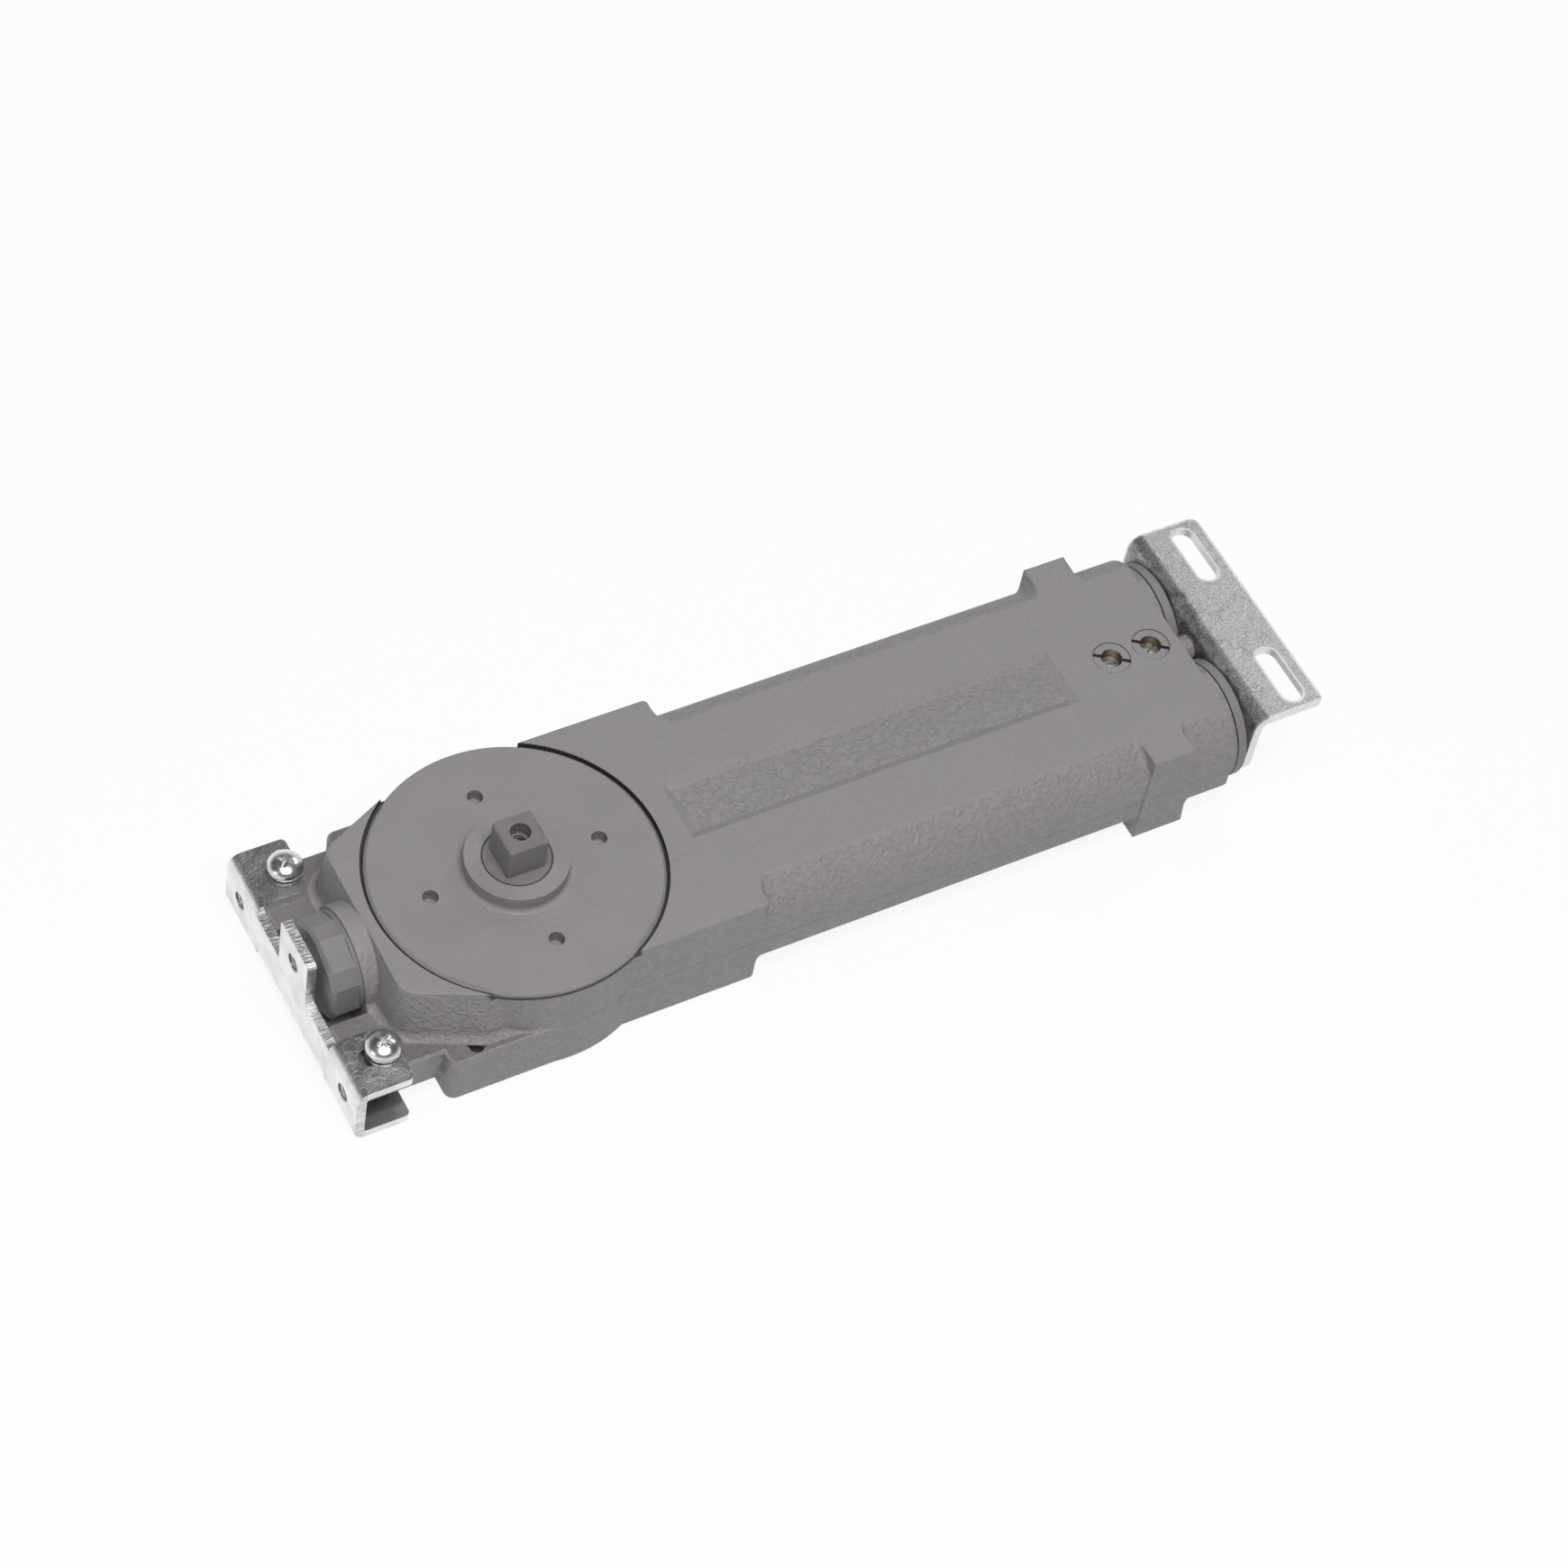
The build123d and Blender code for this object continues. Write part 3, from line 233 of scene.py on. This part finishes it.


# Bright zinc plate on sheet steel: the bracket's plate is smooth, its tabs rippled with painted shade on
# their upward faces, its cut edges scored
zinc = {"bright": colour(236, 237, 237), "dull": colour(216, 217, 218), "dark": colour(128, 126, 127),
        "roughness": 0.22, "softScale": 300.0, "speckScale": 2600.0, "cloudScale": 110.0,
        "scoreStretch": (0.05, 1.0, 1.0), "scoreDepth": 0.2 * mm, "rippleDepth": 0.36 * mm,
        "speckDepth": 0.1 * mm, "plateDepth": 0.02 * mm, "cloudDepth": 0.22 * mm, "plateMiddle": -63.6 * mm,
        "plateHalf": 1.45 * mm, "plateBlur": 0.05 * mm, "tabStart": 23.9 * mm, "tabBlur": 0.2 * mm,
        "tabFloor": 17.0 * mm, "tabFade": 1.0 * mm}


def makePlateZinc():
    sizes, paint = zinc, Paint("plateZinc")
    x, y, z = paint.split(paint.place)
    alongX, alongY, alongZ = paint.facing()
    soft = paint.noise(sizes["softScale"], 3.0, 0.6, 0.4)
    speck = paint.noise(sizes["speckScale"], 3.0, 0.7)
    cloud = paint.noise(sizes["cloudScale"], 3.0, 0.6, 0.5)
    scores = paint.noise(sizes["speckScale"], 2.0, 0.7, 0.0, sizes["scoreStretch"])
    # the cut edges run round the upright plate, across the sheet
    inPlate = paint.under(abs(x - sizes["plateMiddle"]), sizes["plateHalf"], sizes["plateBlur"])
    across = paint.step(abs(alongX), 0.5, 0.3)
    between = paint.step(abs(y), sizes["tabStart"], sizes["tabStart"] - sizes["tabBlur"])
    cut = inPlate * across * paint.step(abs(alongY) + between, 0.8, 0.9)
    aboveFloor = paint.step(z, sizes["tabFloor"], sizes["tabFloor"] + sizes["tabFade"])
    onTab = paint.step(alongZ, 0.5, 0.9) * aboveFloor * (1.0 - cut)
    tint = paint.blend(paint.step(cloud * 0.7 + speck * 0.3, 0.4, 0.62), sizes["dull"], sizes["bright"])
    tint = paint.blend(paint.step(scores, 0.5, 0.38) * cut * 0.6, tint, sizes["dark"])
    # painted shade: the tabs' upward faces are darkened with a random mottle
    tabShadeMottle = paint.step(speck * 0.6 + cloud * 0.4, 0.52, 0.4) * 0.45 + 0.5
    tint = paint.blend(tabShadeMottle * onTab, tint, sizes["dark"])
    rough = (1.0 - cloud) * 0.14 + cut * 0.12 + speck * onTab * 0.2 + (sizes["roughness"] - 0.07)
    ripple = (soft - 0.5) * sizes["rippleDepth"] + (speck - 0.5) * sizes["speckDepth"]
    height = (speck * sizes["plateDepth"] + scores * cut * sizes["scoreDepth"] + cloud * sizes["cloudDepth"]
              + ripple * onTab)
    return paint.finish(height, {"Base Color": tint, "Metallic": 1.0, "Roughness": rough})


# Duller zinc with a fine spangle, with painted shade along the angle's bend
spangle = {"bright": colour(214, 214, 214), "dull": colour(158, 157, 158), "dark": colour(70, 68, 70),
           "edgeHighlight": colour(236, 237, 237), "roughness": 0.34, "grainScale": 1500.0, "fleckScale": 3000.0,
           "cloudScale": 170.0, "grainDepth": 0.07 * mm, "fleckDepth": 0.03 * mm, "cloudDepth": 0.08 * mm,
           "bendDepth": 7.0 * mm, "rim": 0.9 * mm, "rimFade": 0.36 * mm, "slotX": 231.6 * mm,
           "slotY": 23.7 * mm, "slotHalf": 6.6 * mm, "slotRadius": 3.4 * mm}


def makeSpangledZinc():
    low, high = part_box("angle_bracket")
    sizes, paint = spangle, Paint("spangledZinc")
    x, y = paint.split(paint.place)[:2]
    grain = paint.noise(sizes["grainScale"], 4.0, 0.8, 1.2)
    fleck = paint.noise(sizes["fleckScale"], 2.0, 0.7)
    cloud = paint.noise(sizes["cloudScale"], 3.0, 0.6, 0.5)
    tint = paint.blend(paint.step(grain * 0.7 + fleck * 0.3, 0.4, 0.62), sizes["dull"], sizes["bright"])
    # painted shade growing towards the bend, mixed into the random dark spangle
    bend = paint.step(x, low[0] + sizes["bendDepth"], low[0]) * 0.5
    speckAndBendShade = paint.step(grain * 0.5 + cloud * 0.5 - bend * 0.22, 0.5, 0.3)
    tint = paint.blend(speckAndBendShade * 0.6, tint, sizes["dark"])
    # painted highlight along the outer edges and the slots' rims
    pastSlot = (abs(abs(y) - sizes["slotY"]) - sizes["slotHalf"]).most(0.0)
    fromAxis = paint.add("ShaderNodeCombineXYZ", None, {0: x - sizes["slotX"], 1: pastSlot})[0]
    fromSlot = paint.length(fromAxis) - sizes["slotRadius"]
    edgeHighlight = paint.step(fromSlot, sizes["rim"], sizes["rimFade"])
    for value, edge in ((x, high[0]), (abs(y), high[1])):
        edgeHighlight = edgeHighlight.most(paint.step(value, edge - sizes["rim"], edge - sizes["rimFade"]))
    tint = paint.blend(edgeHighlight * 0.75, tint, sizes["edgeHighlight"])
    height = grain * sizes["grainDepth"] + fleck * sizes["fleckDepth"] + cloud * sizes["cloudDepth"]
    return paint.finish(height, {"Base Color": tint, "Metallic": 1.0,
                                 "Roughness": grain * 0.16 + (sizes["roughness"] - 0.08)})


def makeMetal(name, light, shade, roughness, grain=1500.0, relief=0.006 * mm):
    paint = Paint(name)
    wear = paint.noise(grain, 3.0, 0.6, 0.3)
    cloud = paint.noise(160.0, 2.0, 0.5)
    tint = paint.blend(paint.step(cloud * 0.6 + wear * 0.4, 0.38, 0.64), shade, light)
    return paint.finish(wear * relief + cloud * (2 * relief),
                        {"Base Color": tint, "Metallic": 1.0, "Roughness": wear * 0.1 + (roughness - 0.05)})


def makeRubber(name):
    paint = Paint(name)
    wear = paint.noise(1800.0, 2.0, 0.5)
    tint = paint.blend(wear, colour(24, 22, 22), colour(42, 40, 40))
    return paint.finish(wear * (0.02 * mm), {"Base Color": tint, "Roughness": wear * 0.15 + 0.55})


plateGrain = 900.0
plateRelief = 0.02 * mm
paints = {
    "castPaint": makeCastPaint(),
    "coverPaint": makeTurnedPaint("coverPaint", colour(151, 147, 148), colour(145, 141, 142), "Z",
                                  turnedPaint["ringDepth"], turnedPaint["gapRadius"]),
    "plugPaint": makeTurnedPaint("plugPaint", colour(142, 138, 140), colour(130, 127, 128), "X"),
    "spindlePaint": makeTurnedPaint("spindlePaint", colour(132, 128, 129), colour(118, 114, 115)),
    "bushingPaint": makeTurnedPaint("bushingPaint", colour(151, 147, 148), colour(145, 141, 142)),
    "plateZinc": makePlateZinc(),
    "spangledZinc": makeSpangledZinc(),
    "screwPlate": makeMetal("screwPlate", colour(240, 240, 239), colour(206, 205, 203), 0.24,
                            plateGrain, plateRelief),
    "washerPlate": makeMetal("washerPlate", colour(196, 196, 194), colour(146, 145, 144), 0.28,
                             plateGrain, plateRelief),
    "valveBronze": makeMetal("valveBronze", colour(150, 132, 112), colour(112, 98, 84), 0.45),
    "turnedSteel": makeMetal("turnedSteel", colour(140, 136, 136), colour(112, 108, 108), 0.45),
    "needleSteel": makeMetal("needleSteel", colour(228, 226, 223), colour(186, 183, 179), 0.42),
    "springSteel": makeMetal("springSteel", colour(96, 94, 92), colour(60, 58, 57), 0.3),
    "pistonIron": makeMetal("pistonIron", colour(132, 130, 130), colour(98, 96, 96), 0.35),
    "bronze": makeMetal("bearingBronze", colour(186, 140, 88), colour(140, 98, 56), 0.42),
    "rubber": makeRubber("sealRubber"),
}
nodePaint = {"housing": "castPaint", "cover": "coverPaint", "spindle": "spindlePaint",
             "hex_plug": "plugPaint", "channel_bracket": "plateZinc", "angle_bracket": "spangledZinc",
             "flat_washers": "washerPlate",
             "spring_washers": "washerPlate", "bracket_screws": "screwPlate", "angle_screws": "screwPlate",
             "upper_bearing": "bronze", "lower_bearing": "bronze"}
endPaint = {"seal": "rubber", "end_plug": "plugPaint", "bushing": "bushingPaint", "needle": "needleSteel",
            "spring": "springSteel", "piston": "pistonIron", "ring": "pistonIron", "ball": "needleSteel",
            "retainer": "bronze", "seat": "turnedSteel"}


# The bushings are painted on top, and their bores are bare bronze
def paintNodes():
    for name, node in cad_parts.items():
        kind = nodePaint.get(name) or next(p for end, p in endPaint.items() if name.endswith(end))
        node.data.materials.clear()
        node.data.materials.append(paints[kind])
        if kind == "bushingPaint":
            node.data.materials.append(paints["valveBronze"])
        for face in node.data.polygons:
            bare = kind == "bushingPaint" and abs(face.normal.z) < 0.5
            face.material_index = 1 if bare else 0
    print("materials set:", len(paints))


# A pattern is a geometry tree with named inputs that ends in Realize Instances and Set Material
class Pattern(Board):
    kinds = {float: "NodeSocketFloat", int: "NodeSocketInt", tuple: "NodeSocketVector"}

    def __init__(self, name, **inputs):
        group = bpy.data.node_groups.new(name, "GeometryNodeTree")
        super().__init__(group)
        group.interface.new_socket(name="Geometry", in_out="OUTPUT", socket_type="NodeSocketGeometry")
        for label, value in inputs.items():
            kind = self.kinds.get(type(value)) or value
            socket = group.interface.new_socket(name=label, in_out="INPUT", socket_type=kind)
            if type(value) in self.kinds:
                socket.default_value = value
        outputs = self.add("NodeGroupInput")
        self.wires = {label: outputs[index] for index, label in enumerate(inputs)}

    def rowOf(self, shape):
        wires = self.wires
        points = self.add("GeometryNodeMeshLine", {"mode": "OFFSET"},
                          {"Count": wires["Count"], "Start Location": wires["First"],
                           "Offset": wires["Apart"]})[0]
        placed = self.add("GeometryNodeInstanceOnPoints", None,
                          {"Points": points, "Instance": shape, "Rotation": wires["Axis turn"]})[0]
        twist = self.add("GeometryNodeInputIndex")[0] * wires["Twist"] + wires["First twist"]
        spin = self.add("ShaderNodeCombineXYZ", None, {2: twist})[0]
        turned = self.add("GeometryNodeRotateInstances", None, {"Instances": placed, "Rotation": spin})[0]
        whole = self.add("GeometryNodeRealizeInstances", None, {0: turned})[0]
        faced = self.add("GeometryNodeSetMaterial", None, {"Geometry": whole, "Material": wires["Finish"]})[0]
        self.add("NodeGroupOutput", None, {0: faced})

    def circle(self, resolution, radius):
        return self.add("GeometryNodeCurvePrimitiveCircle", {"mode": "RADIUS"},
                        {"Resolution": resolution, "Radius": radius})[0]

    def coil(self, resolution, turns, radius, height):
        return self.add("GeometryNodeCurveSpiral", None,
                        {"Resolution": resolution, "Rotations": turns, "Start Radius": radius,
                         "End Radius": radius, "Height": height, "Reverse": False})[0]

    def roundedBar(self, width, height, corner):
        bar = self.add("GeometryNodeCurvePrimitiveQuadrilateral", {"mode": "RECTANGLE"},
                       {"Width": width, "Height": height})[0]
        return self.add("GeometryNodeFilletCurve", {"mode": "POLY"},
                        {"Curve": bar, "Radius": corner, "Count": 2})[0]

    def sweep(self, path, profile):
        return self.add("GeometryNodeCurveToMesh", None,
                        {"Curve": path, "Profile Curve": profile, "Fill Caps": True})[0]


rowInputs = {"Count": 2, "First": (0.0, 0.0, 0.0), "Apart": (0.0, 0.0, 0.0), "Axis turn": (0.0, 0.0, 0.0),
             "Twist": 0.0, "First twist": 0.0, "Finish": "NodeSocketMaterial"}


def addObject(name, data):
    piece = bpy.data.objects.new(name, data)
    bpy.context.scene.collection.objects.link(piece)
    return piece


def bakedMesh(piece):
    bpy.context.view_layer.update()
    mesh = bpy.data.meshes.new_from_object(piece.evaluated_get(bpy.context.evaluated_depsgraph_get()))
    piece.modifiers.clear()
    return mesh


def growPattern(name, pattern, values):
    piece = addObject(name, bpy.data.meshes.new(name))
    step = piece.modifiers.new("pattern", "NODES")
    step.node_group = pattern.tree
    for item in pattern.tree.interface.items_tree:
        if item.in_out == "INPUT" and item.name in values:
            step[item.identifier] = values[item.name]
    piece.data = bakedMesh(piece)
    return piece


def meshFrom(name, shape):
    mesh = bpy.data.meshes.new(name)
    shape.to_mesh(mesh)
    shape.free()
    return mesh


def latheMesh(name, profile, facets):
    shape = bmesh.new()
    points = [shape.verts.new((radius, 0, height)) for radius, height in profile]
    edges = [shape.edges.new(pair) for pair in zip(points, points[1:])]
    bmesh.ops.spin(shape, geom=points + edges, cent=(0, 0, 0), axis=(0, 0, 1), angle=2 * math.pi,
                   steps=facets)
    bmesh.ops.remove_doubles(shape, verts=shape.verts, dist=0.002 * mm)
    bmesh.ops.recalc_face_normals(shape, faces=shape.faces)
    return meshFrom(name, shape)


# Cross-recessed pan head screws
bracketScrew = {"headRadius": 5.1 * mm, "headHeight": 3.7 * mm, "rim": 0.9 * mm, "shankRadius": 2.5 * mm,
                "shankLength": 15.1 * mm, "recessReach": 2.75 * mm, "recessWidth": 1.25 * mm,
                "recessDepth": 2.3 * mm, "facets": 56, "firstTwist": 0.35, "twist": 0.55}
angleScrew = {"headRadius": 3.5 * mm, "headHeight": 2.8 * mm, "rim": 0.7 * mm, "shankRadius": 2.0 * mm,
              "shankLength": 10.0 * mm, "recessReach": 2.1 * mm, "recessWidth": 0.95 * mm,
              "recessDepth": 1.6 * mm, "facets": 40, "firstTwist": 0.2, "twist": 0.8}
headForm = {"domeSteps": 12, "underCut": 0.25 * mm, "clearance": 0.2 * mm, "footReach": 0.32,
            "footWidth": 0.3, "softening": 0.12 * mm, "softAngle": math.radians(38),
            "sharpAngle": math.radians(32)}


# One bar of the driver's cross, which narrows towards its foot
def makeCutter(name, sizes, turned):
    top = sizes["headHeight"] + headForm["clearance"]
    foot = sizes["headHeight"] - sizes["recessDepth"]
    shape = bmesh.new()
    footReach = sizes["recessReach"] * headForm["footReach"]
    footWidth = sizes["recessWidth"] * headForm["footWidth"]
    rings = []
    for height, reach, width in ((foot, footReach, footWidth),
                                 (top, sizes["recessReach"], sizes["recessWidth"] / 2)):
        if turned:
            reach, width = width, reach
        rings.append([shape.verts.new((sx * reach, sy * width, height))
                      for sx, sy in ((-1, -1), (1, -1), (1, 1), (-1, 1))])
    low, high = rings
    shape.faces.new(low[::-1])
    shape.faces.new(high)
    for index in range(4):
        after = (index + 1) % 4
        shape.faces.new((low[index], low[after], high[after], high[index]))
    bmesh.ops.recalc_face_normals(shape, faces=shape.faces)
    return addObject(name, meshFrom(name, shape))


def makeScrewShape(name, sizes):
    dome = sizes["headHeight"] - sizes["rim"]
    profile = [(0, -sizes["shankLength"]), (sizes["shankRadius"], -sizes["shankLength"]),
               (sizes["shankRadius"], 0), (sizes["headRadius"] - headForm["underCut"], 0),
               (sizes["headRadius"], headForm["underCut"])]
    for step in range(headForm["domeSteps"] + 1):
        lean = math.pi / 2 * step / headForm["domeSteps"]
        profile.append((sizes["headRadius"] * math.cos(lean), sizes["rim"] + dome * math.sin(lean)))
    screw = addObject(name, latheMesh(name, profile, sizes["facets"]))
    cutters = [makeCutter(name + "Cutter", sizes, turned) for turned in (False, True)]
    for cutter in cutters:
        cut = screw.modifiers.new("cross", "BOOLEAN")
        cut.operation = "DIFFERENCE"
        cut.object = cutter
        cut.solver = "EXACT"
    bevel = screw.modifiers.new("edges", "BEVEL")
    bevel.width = headForm["softening"]
    bevel.segments = 2
    bevel.limit_method = "ANGLE"
    bevel.angle_limit = headForm["softAngle"]
    screw.data = bakedMesh(screw)
    for cutter in cutters:
        bpy.data.objects.remove(cutter)
    screw.data.shade_smooth()
    screw.data.set_sharp_from_angle(angle=headForm["sharpAngle"])
    return screw


def makeScrews():
    pattern = Pattern("screwRow", Screw="NodeSocketObject", **rowInputs)
    seen = pattern.add("GeometryNodeObjectInfo", {"transform_space": "ORIGINAL"},
                       {"Object": pattern.wires["Screw"]})
    pattern.rowOf(next(w for w in seen if w.socket.name == "Geometry"))
    low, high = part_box("bracket_screws")
    edge = bracketScrew["headRadius"]
    shape = makeScrewShape("bracketScrewShape", bracketScrew)
    row = growPattern("bracketScrewPair", pattern, {
        "Screw": shape, "Count": 2,
        "First": (low[0] + edge, low[1] + edge, high[2] - bracketScrew["headHeight"]),
        "Apart": (0.0, high[1] - low[1] - 2 * edge, 0.0), "Twist": bracketScrew["twist"],
        "First twist": bracketScrew["firstTwist"], "Finish": paints["screwPlate"]})
    bpy.data.objects.remove(shape)
    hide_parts("bracket_screws")
    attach(row, "body")
    low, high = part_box("angle_screws")
    edge = angleScrew["headRadius"]
    shape = makeScrewShape("angleScrewShape", angleScrew)
    row = growPattern("angleScrewPair", pattern, {
        "Screw": shape, "Count": 2,
        "First": (high[0] - angleScrew["headHeight"], low[1] + edge, low[2] + edge),
        "Apart": (0.0, 0.0, high[2] - low[2] - 2 * edge), "Axis turn": (0.0, math.pi / 2, 0.0),
        "Twist": angleScrew["twist"], "First twist": angleScrew["firstTwist"],
        "Finish": paints["screwPlate"]})
    bpy.data.objects.remove(shape)
    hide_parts("angle_screws")
    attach(row, "body")
    print("screws made")


# Split spring washers and flat washers under the bracket's screws
washerRow = {"nearY": -31.5 * mm, "apart": (0.0, 63.0 * mm, 0.0), "sharpAngle": math.radians(40)}
springWasher = {"innerRadius": 2.7 * mm, "outerRadius": 4.6 * mm, "turns": 0.955, "rise": 0.28 * mm,
                "corner": 0.12 * mm, "facets": 48, "firstTwist": -2.2, "twist": 2.4}
flatWasher = {"innerRadius": 2.65 * mm, "outerRadius": 5.0 * mm, "corner": 0.2 * mm, "facets": 56}


def makeSpringWashers():
    sizes = springWasher
    pattern = Pattern("splitWasherRow", Radius=1.0, Rise=0.0, Turns=1.0, Width=1.0, Height=1.0, Corner=0.0,
                      **rowInputs)
    wires = pattern.wires
    path = pattern.coil(sizes["facets"], wires["Turns"], wires["Radius"], wires["Rise"])
    upright = pattern.add("GeometryNodeSetCurveNormal", {"mode": "Z_UP"}, {"Curve": path})[0]
    bar = pattern.roundedBar(wires["Width"], wires["Height"], wires["Corner"])
    pattern.rowOf(pattern.sweep(upright, bar))
    low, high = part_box("spring_washers")
    width = sizes["outerRadius"] - sizes["innerRadius"]
    thick = high[2] - low[2] - sizes["rise"]
    pair = growPattern("springWasherPair", pattern, {
        "Radius": sizes["outerRadius"] - width / 2, "Rise": sizes["rise"], "Turns": sizes["turns"],
        "Width": thick, "Height": width, "Corner": sizes["corner"], "Count": 2,
        "First": (low[0] + sizes["outerRadius"], washerRow["nearY"], low[2] + thick / 2),
        "Apart": washerRow["apart"], "Twist": sizes["twist"], "First twist": sizes["firstTwist"],
        "Finish": paints["washerPlate"]})
    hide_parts("spring_washers")
    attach(pair, "body")
    return pair


def makeFlatWashers():
    sizes = flatWasher
    pattern = Pattern("flatWasherRow", Radius=1.0, Width=1.0, Height=1.0, Corner=0.0, **rowInputs)
    wires = pattern.wires
    path = pattern.circle(sizes["facets"], wires["Radius"])
    bar = pattern.roundedBar(wires["Width"], wires["Height"], wires["Corner"])
    pattern.rowOf(pattern.sweep(path, bar))
    low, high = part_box("flat_washers")
    width = sizes["outerRadius"] - sizes["innerRadius"]
    pair = growPattern("flatWasherPair", pattern, {
        "Radius": sizes["outerRadius"] - width / 2, "Width": width, "Height": high[2] - low[2],
        "Corner": sizes["corner"], "Count": 2,
        "First": (low[0] + sizes["outerRadius"], washerRow["nearY"], (low[2] + high[2]) / 2),
        "Apart": washerRow["apart"], "Finish": paints["washerPlate"]})
    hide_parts("flat_washers")
    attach(pair, "body")
    return pair


def makeWashers():
    for pair in (makeSpringWashers(), makeFlatWashers()):
        pair.data.shade_smooth()
        pair.data.set_sharp_from_angle(angle=washerRow["sharpAngle"])
    print("washers made")


# Thread ridges cut in the bracket's holes and in the spindle's screw hole
sheetThread = {"radius": 2.86 * mm, "pitch": 0.8 * mm, "turns": 2.6, "ridge": 0.34 * mm,
               "turn": (0.0, math.pi / 2, 0.0), "finish": "plateZinc", "body": "body"}
threads = {
    "plateHoleThreads": {**sheetThread, "count": 2, "first": (-64.62 * mm, -33.4 * mm, 11.2 * mm),
                         "apart": (0.0, 66.8 * mm, 0.0)},
    "earHoleThreads": {**sheetThread, "count": 1, "first": (-64.62 * mm, 0.0, 26.8 * mm),
                       "apart": (0.0, 0.0, 0.0)},
    "spindleHoleThreads": {"radius": 2.14 * mm, "pitch": 0.7 * mm, "turns": 14.0, "ridge": 0.28 * mm,
                           "count": 1, "first": (0.0, 0.0, 36.6 * mm), "apart": (0.0, 0.0, 0.0),
                           "turn": (0.0, 0.0, 0.0), "finish": "turnedSteel", "body": "spindle"},
}
threadForm = {"facets": 24, "ridgeSides": 4}


def makeThreads():
    pattern = Pattern("threadRow", Radius=1.0, Pitch=1.0, Turns=1.0, Ridge=1.0, **rowInputs)
    wires = pattern.wires
    length = wires["Turns"] * wires["Pitch"]
    path = pattern.coil(threadForm["facets"], wires["Turns"], wires["Radius"], length)
    pattern.rowOf(pattern.sweep(path, pattern.circle(threadForm["ridgeSides"], wires["Ridge"])))
    for name, sizes in threads.items():
        piece = growPattern(name, pattern, {
            "Radius": sizes["radius"], "Pitch": sizes["pitch"], "Turns": sizes["turns"],
            "Ridge": sizes["ridge"], "Count": sizes["count"], "First": sizes["first"],
            "Apart": sizes["apart"], "Axis turn": sizes["turn"], "Finish": paints[sizes["finish"]]})
        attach(piece, sizes["body"])
    print("threads made:", len(threads))


# Floor, lights and camera
stage = {"floorHeight": -0.4 * mm, "floorSize": 6.0, "floorTint": (0.95, 0.95, 0.95, 1.0), "shadowShare": 0.1,
         "white": (1.0, 1.0, 1.0, 1.0), "skyTint": (0.97, 0.98, 1.0, 1.0), "skyStrength": 0.1,
         "wallTop": 0.62, "wallFoot": 0.15, "wallShare": 0.85}


def makeFloor():
    half = stage["floorSize"] / 2
    corners = [(-half, -half), (half, -half), (half, half), (-half, half)]
    mesh = bpy.data.meshes.new("floor")
    mesh.from_pydata([(x, y, stage["floorHeight"]) for x, y in corners], [], [(0, 1, 2, 3)])
    floor = addObject("floor", mesh)
    paint = Paint("floorWhite")
    rays = paint.add("ShaderNodeLightPath")
    shade = paint.add("ShaderNodeBsdfDiffuse", None, {"Color": stage["floorTint"]})[0]
    glow = paint.add("ShaderNodeEmission", None, {"Color": stage["white"], "Strength": 1.0})[0]
    seen = rays[0].most(rays[3]) * (1.0 - stage["shadowShare"])
    both = paint.add("ShaderNodeMixShader", None, {0: seen, 1: shade, 2: glow})[0]
    paint.add("ShaderNodeOutputMaterial", None, {"Surface": both})
    mesh.materials.append(paint.material)


# Metal sees white walls low down and a dim ceiling above
def makeSky():
    world = bpy.data.worlds.new("studio")
    bpy.context.scene.world = world
    world.use_nodes = True
    sky = Board(world.node_tree)
    rays = sky.add("ShaderNodeLightPath")
    up = sky.split(sky.add("ShaderNodeTexCoord")[0])[2]
    walls = sky.step(up, stage["wallTop"], stage["wallFoot"], stage["wallShare"])
    white = sky.add("ShaderNodeBackground", None, {"Color": stage["white"], "Strength": 1.0})[0]
    soft = sky.add("ShaderNodeBackground", None,
                   {"Color": stage["skyTint"], "Strength": stage["skyStrength"]})[0]
    both = sky.add("ShaderNodeMixShader", None, {0: rays[0].most(rays[3] * walls), 1: soft, 2: white})[0]
    sky.add("ShaderNodeOutputWorld", None, {"Surface": both})


lampTarget = Vector((0.08, 0, 0.02))
lamps = {
    "overhead": {"place": (-0.1, -0.4, 1.35), "size": 0.75, "power": 15.0},
    "rightBox": {"place": (0.92, 0.45, 0.85), "size": 0.45, "power": 1.8},
    "window": {"place": (-1.2, -0.1, 0.7), "size": 0.5, "power": 1.2},
}


def makeLamps():
    for name, lamp in lamps.items():
        light = bpy.data.lights.new(name, "AREA")
        light.size = lamp["size"]
        light.energy = lamp["power"]
        body = addObject(name, light)
        body.location = lamp["place"]
        body.rotation_euler = (lampTarget - Vector(lamp["place"])).to_track_quat("-Z", "Y").to_euler()


# The camera's turns are in degrees
camera = {"place": (-0.3805077, -0.5956029, 1.0245126), "turn": (36.54809, -7.47227, -27.96085),
          "focalPixels": 5001.465, "imagePixels": 1740, "sensorWidth": 36.0, "clipStart": 0.05}


def makeCamera():
    eye = bpy.data.cameras.new("photoCamera")
    eye.lens = camera["focalPixels"] / camera["imagePixels"] * camera["sensorWidth"]
    eye.sensor_width = camera["sensorWidth"]
    eye.clip_start = camera["clipStart"]
    body = addObject("photoCamera", eye)
    body.location = camera["place"]
    body.rotation_euler = [math.radians(angle) for angle in camera["turn"]]
    bpy.context.scene.camera = body


paintNodes()
makeScrews()
makeWashers()
makeThreads()
makeFloor()
makeSky()
makeLamps()
makeCamera()
bpy.context.scene.view_settings.view_transform = "Standard"
print("stage, lamps and camera set")
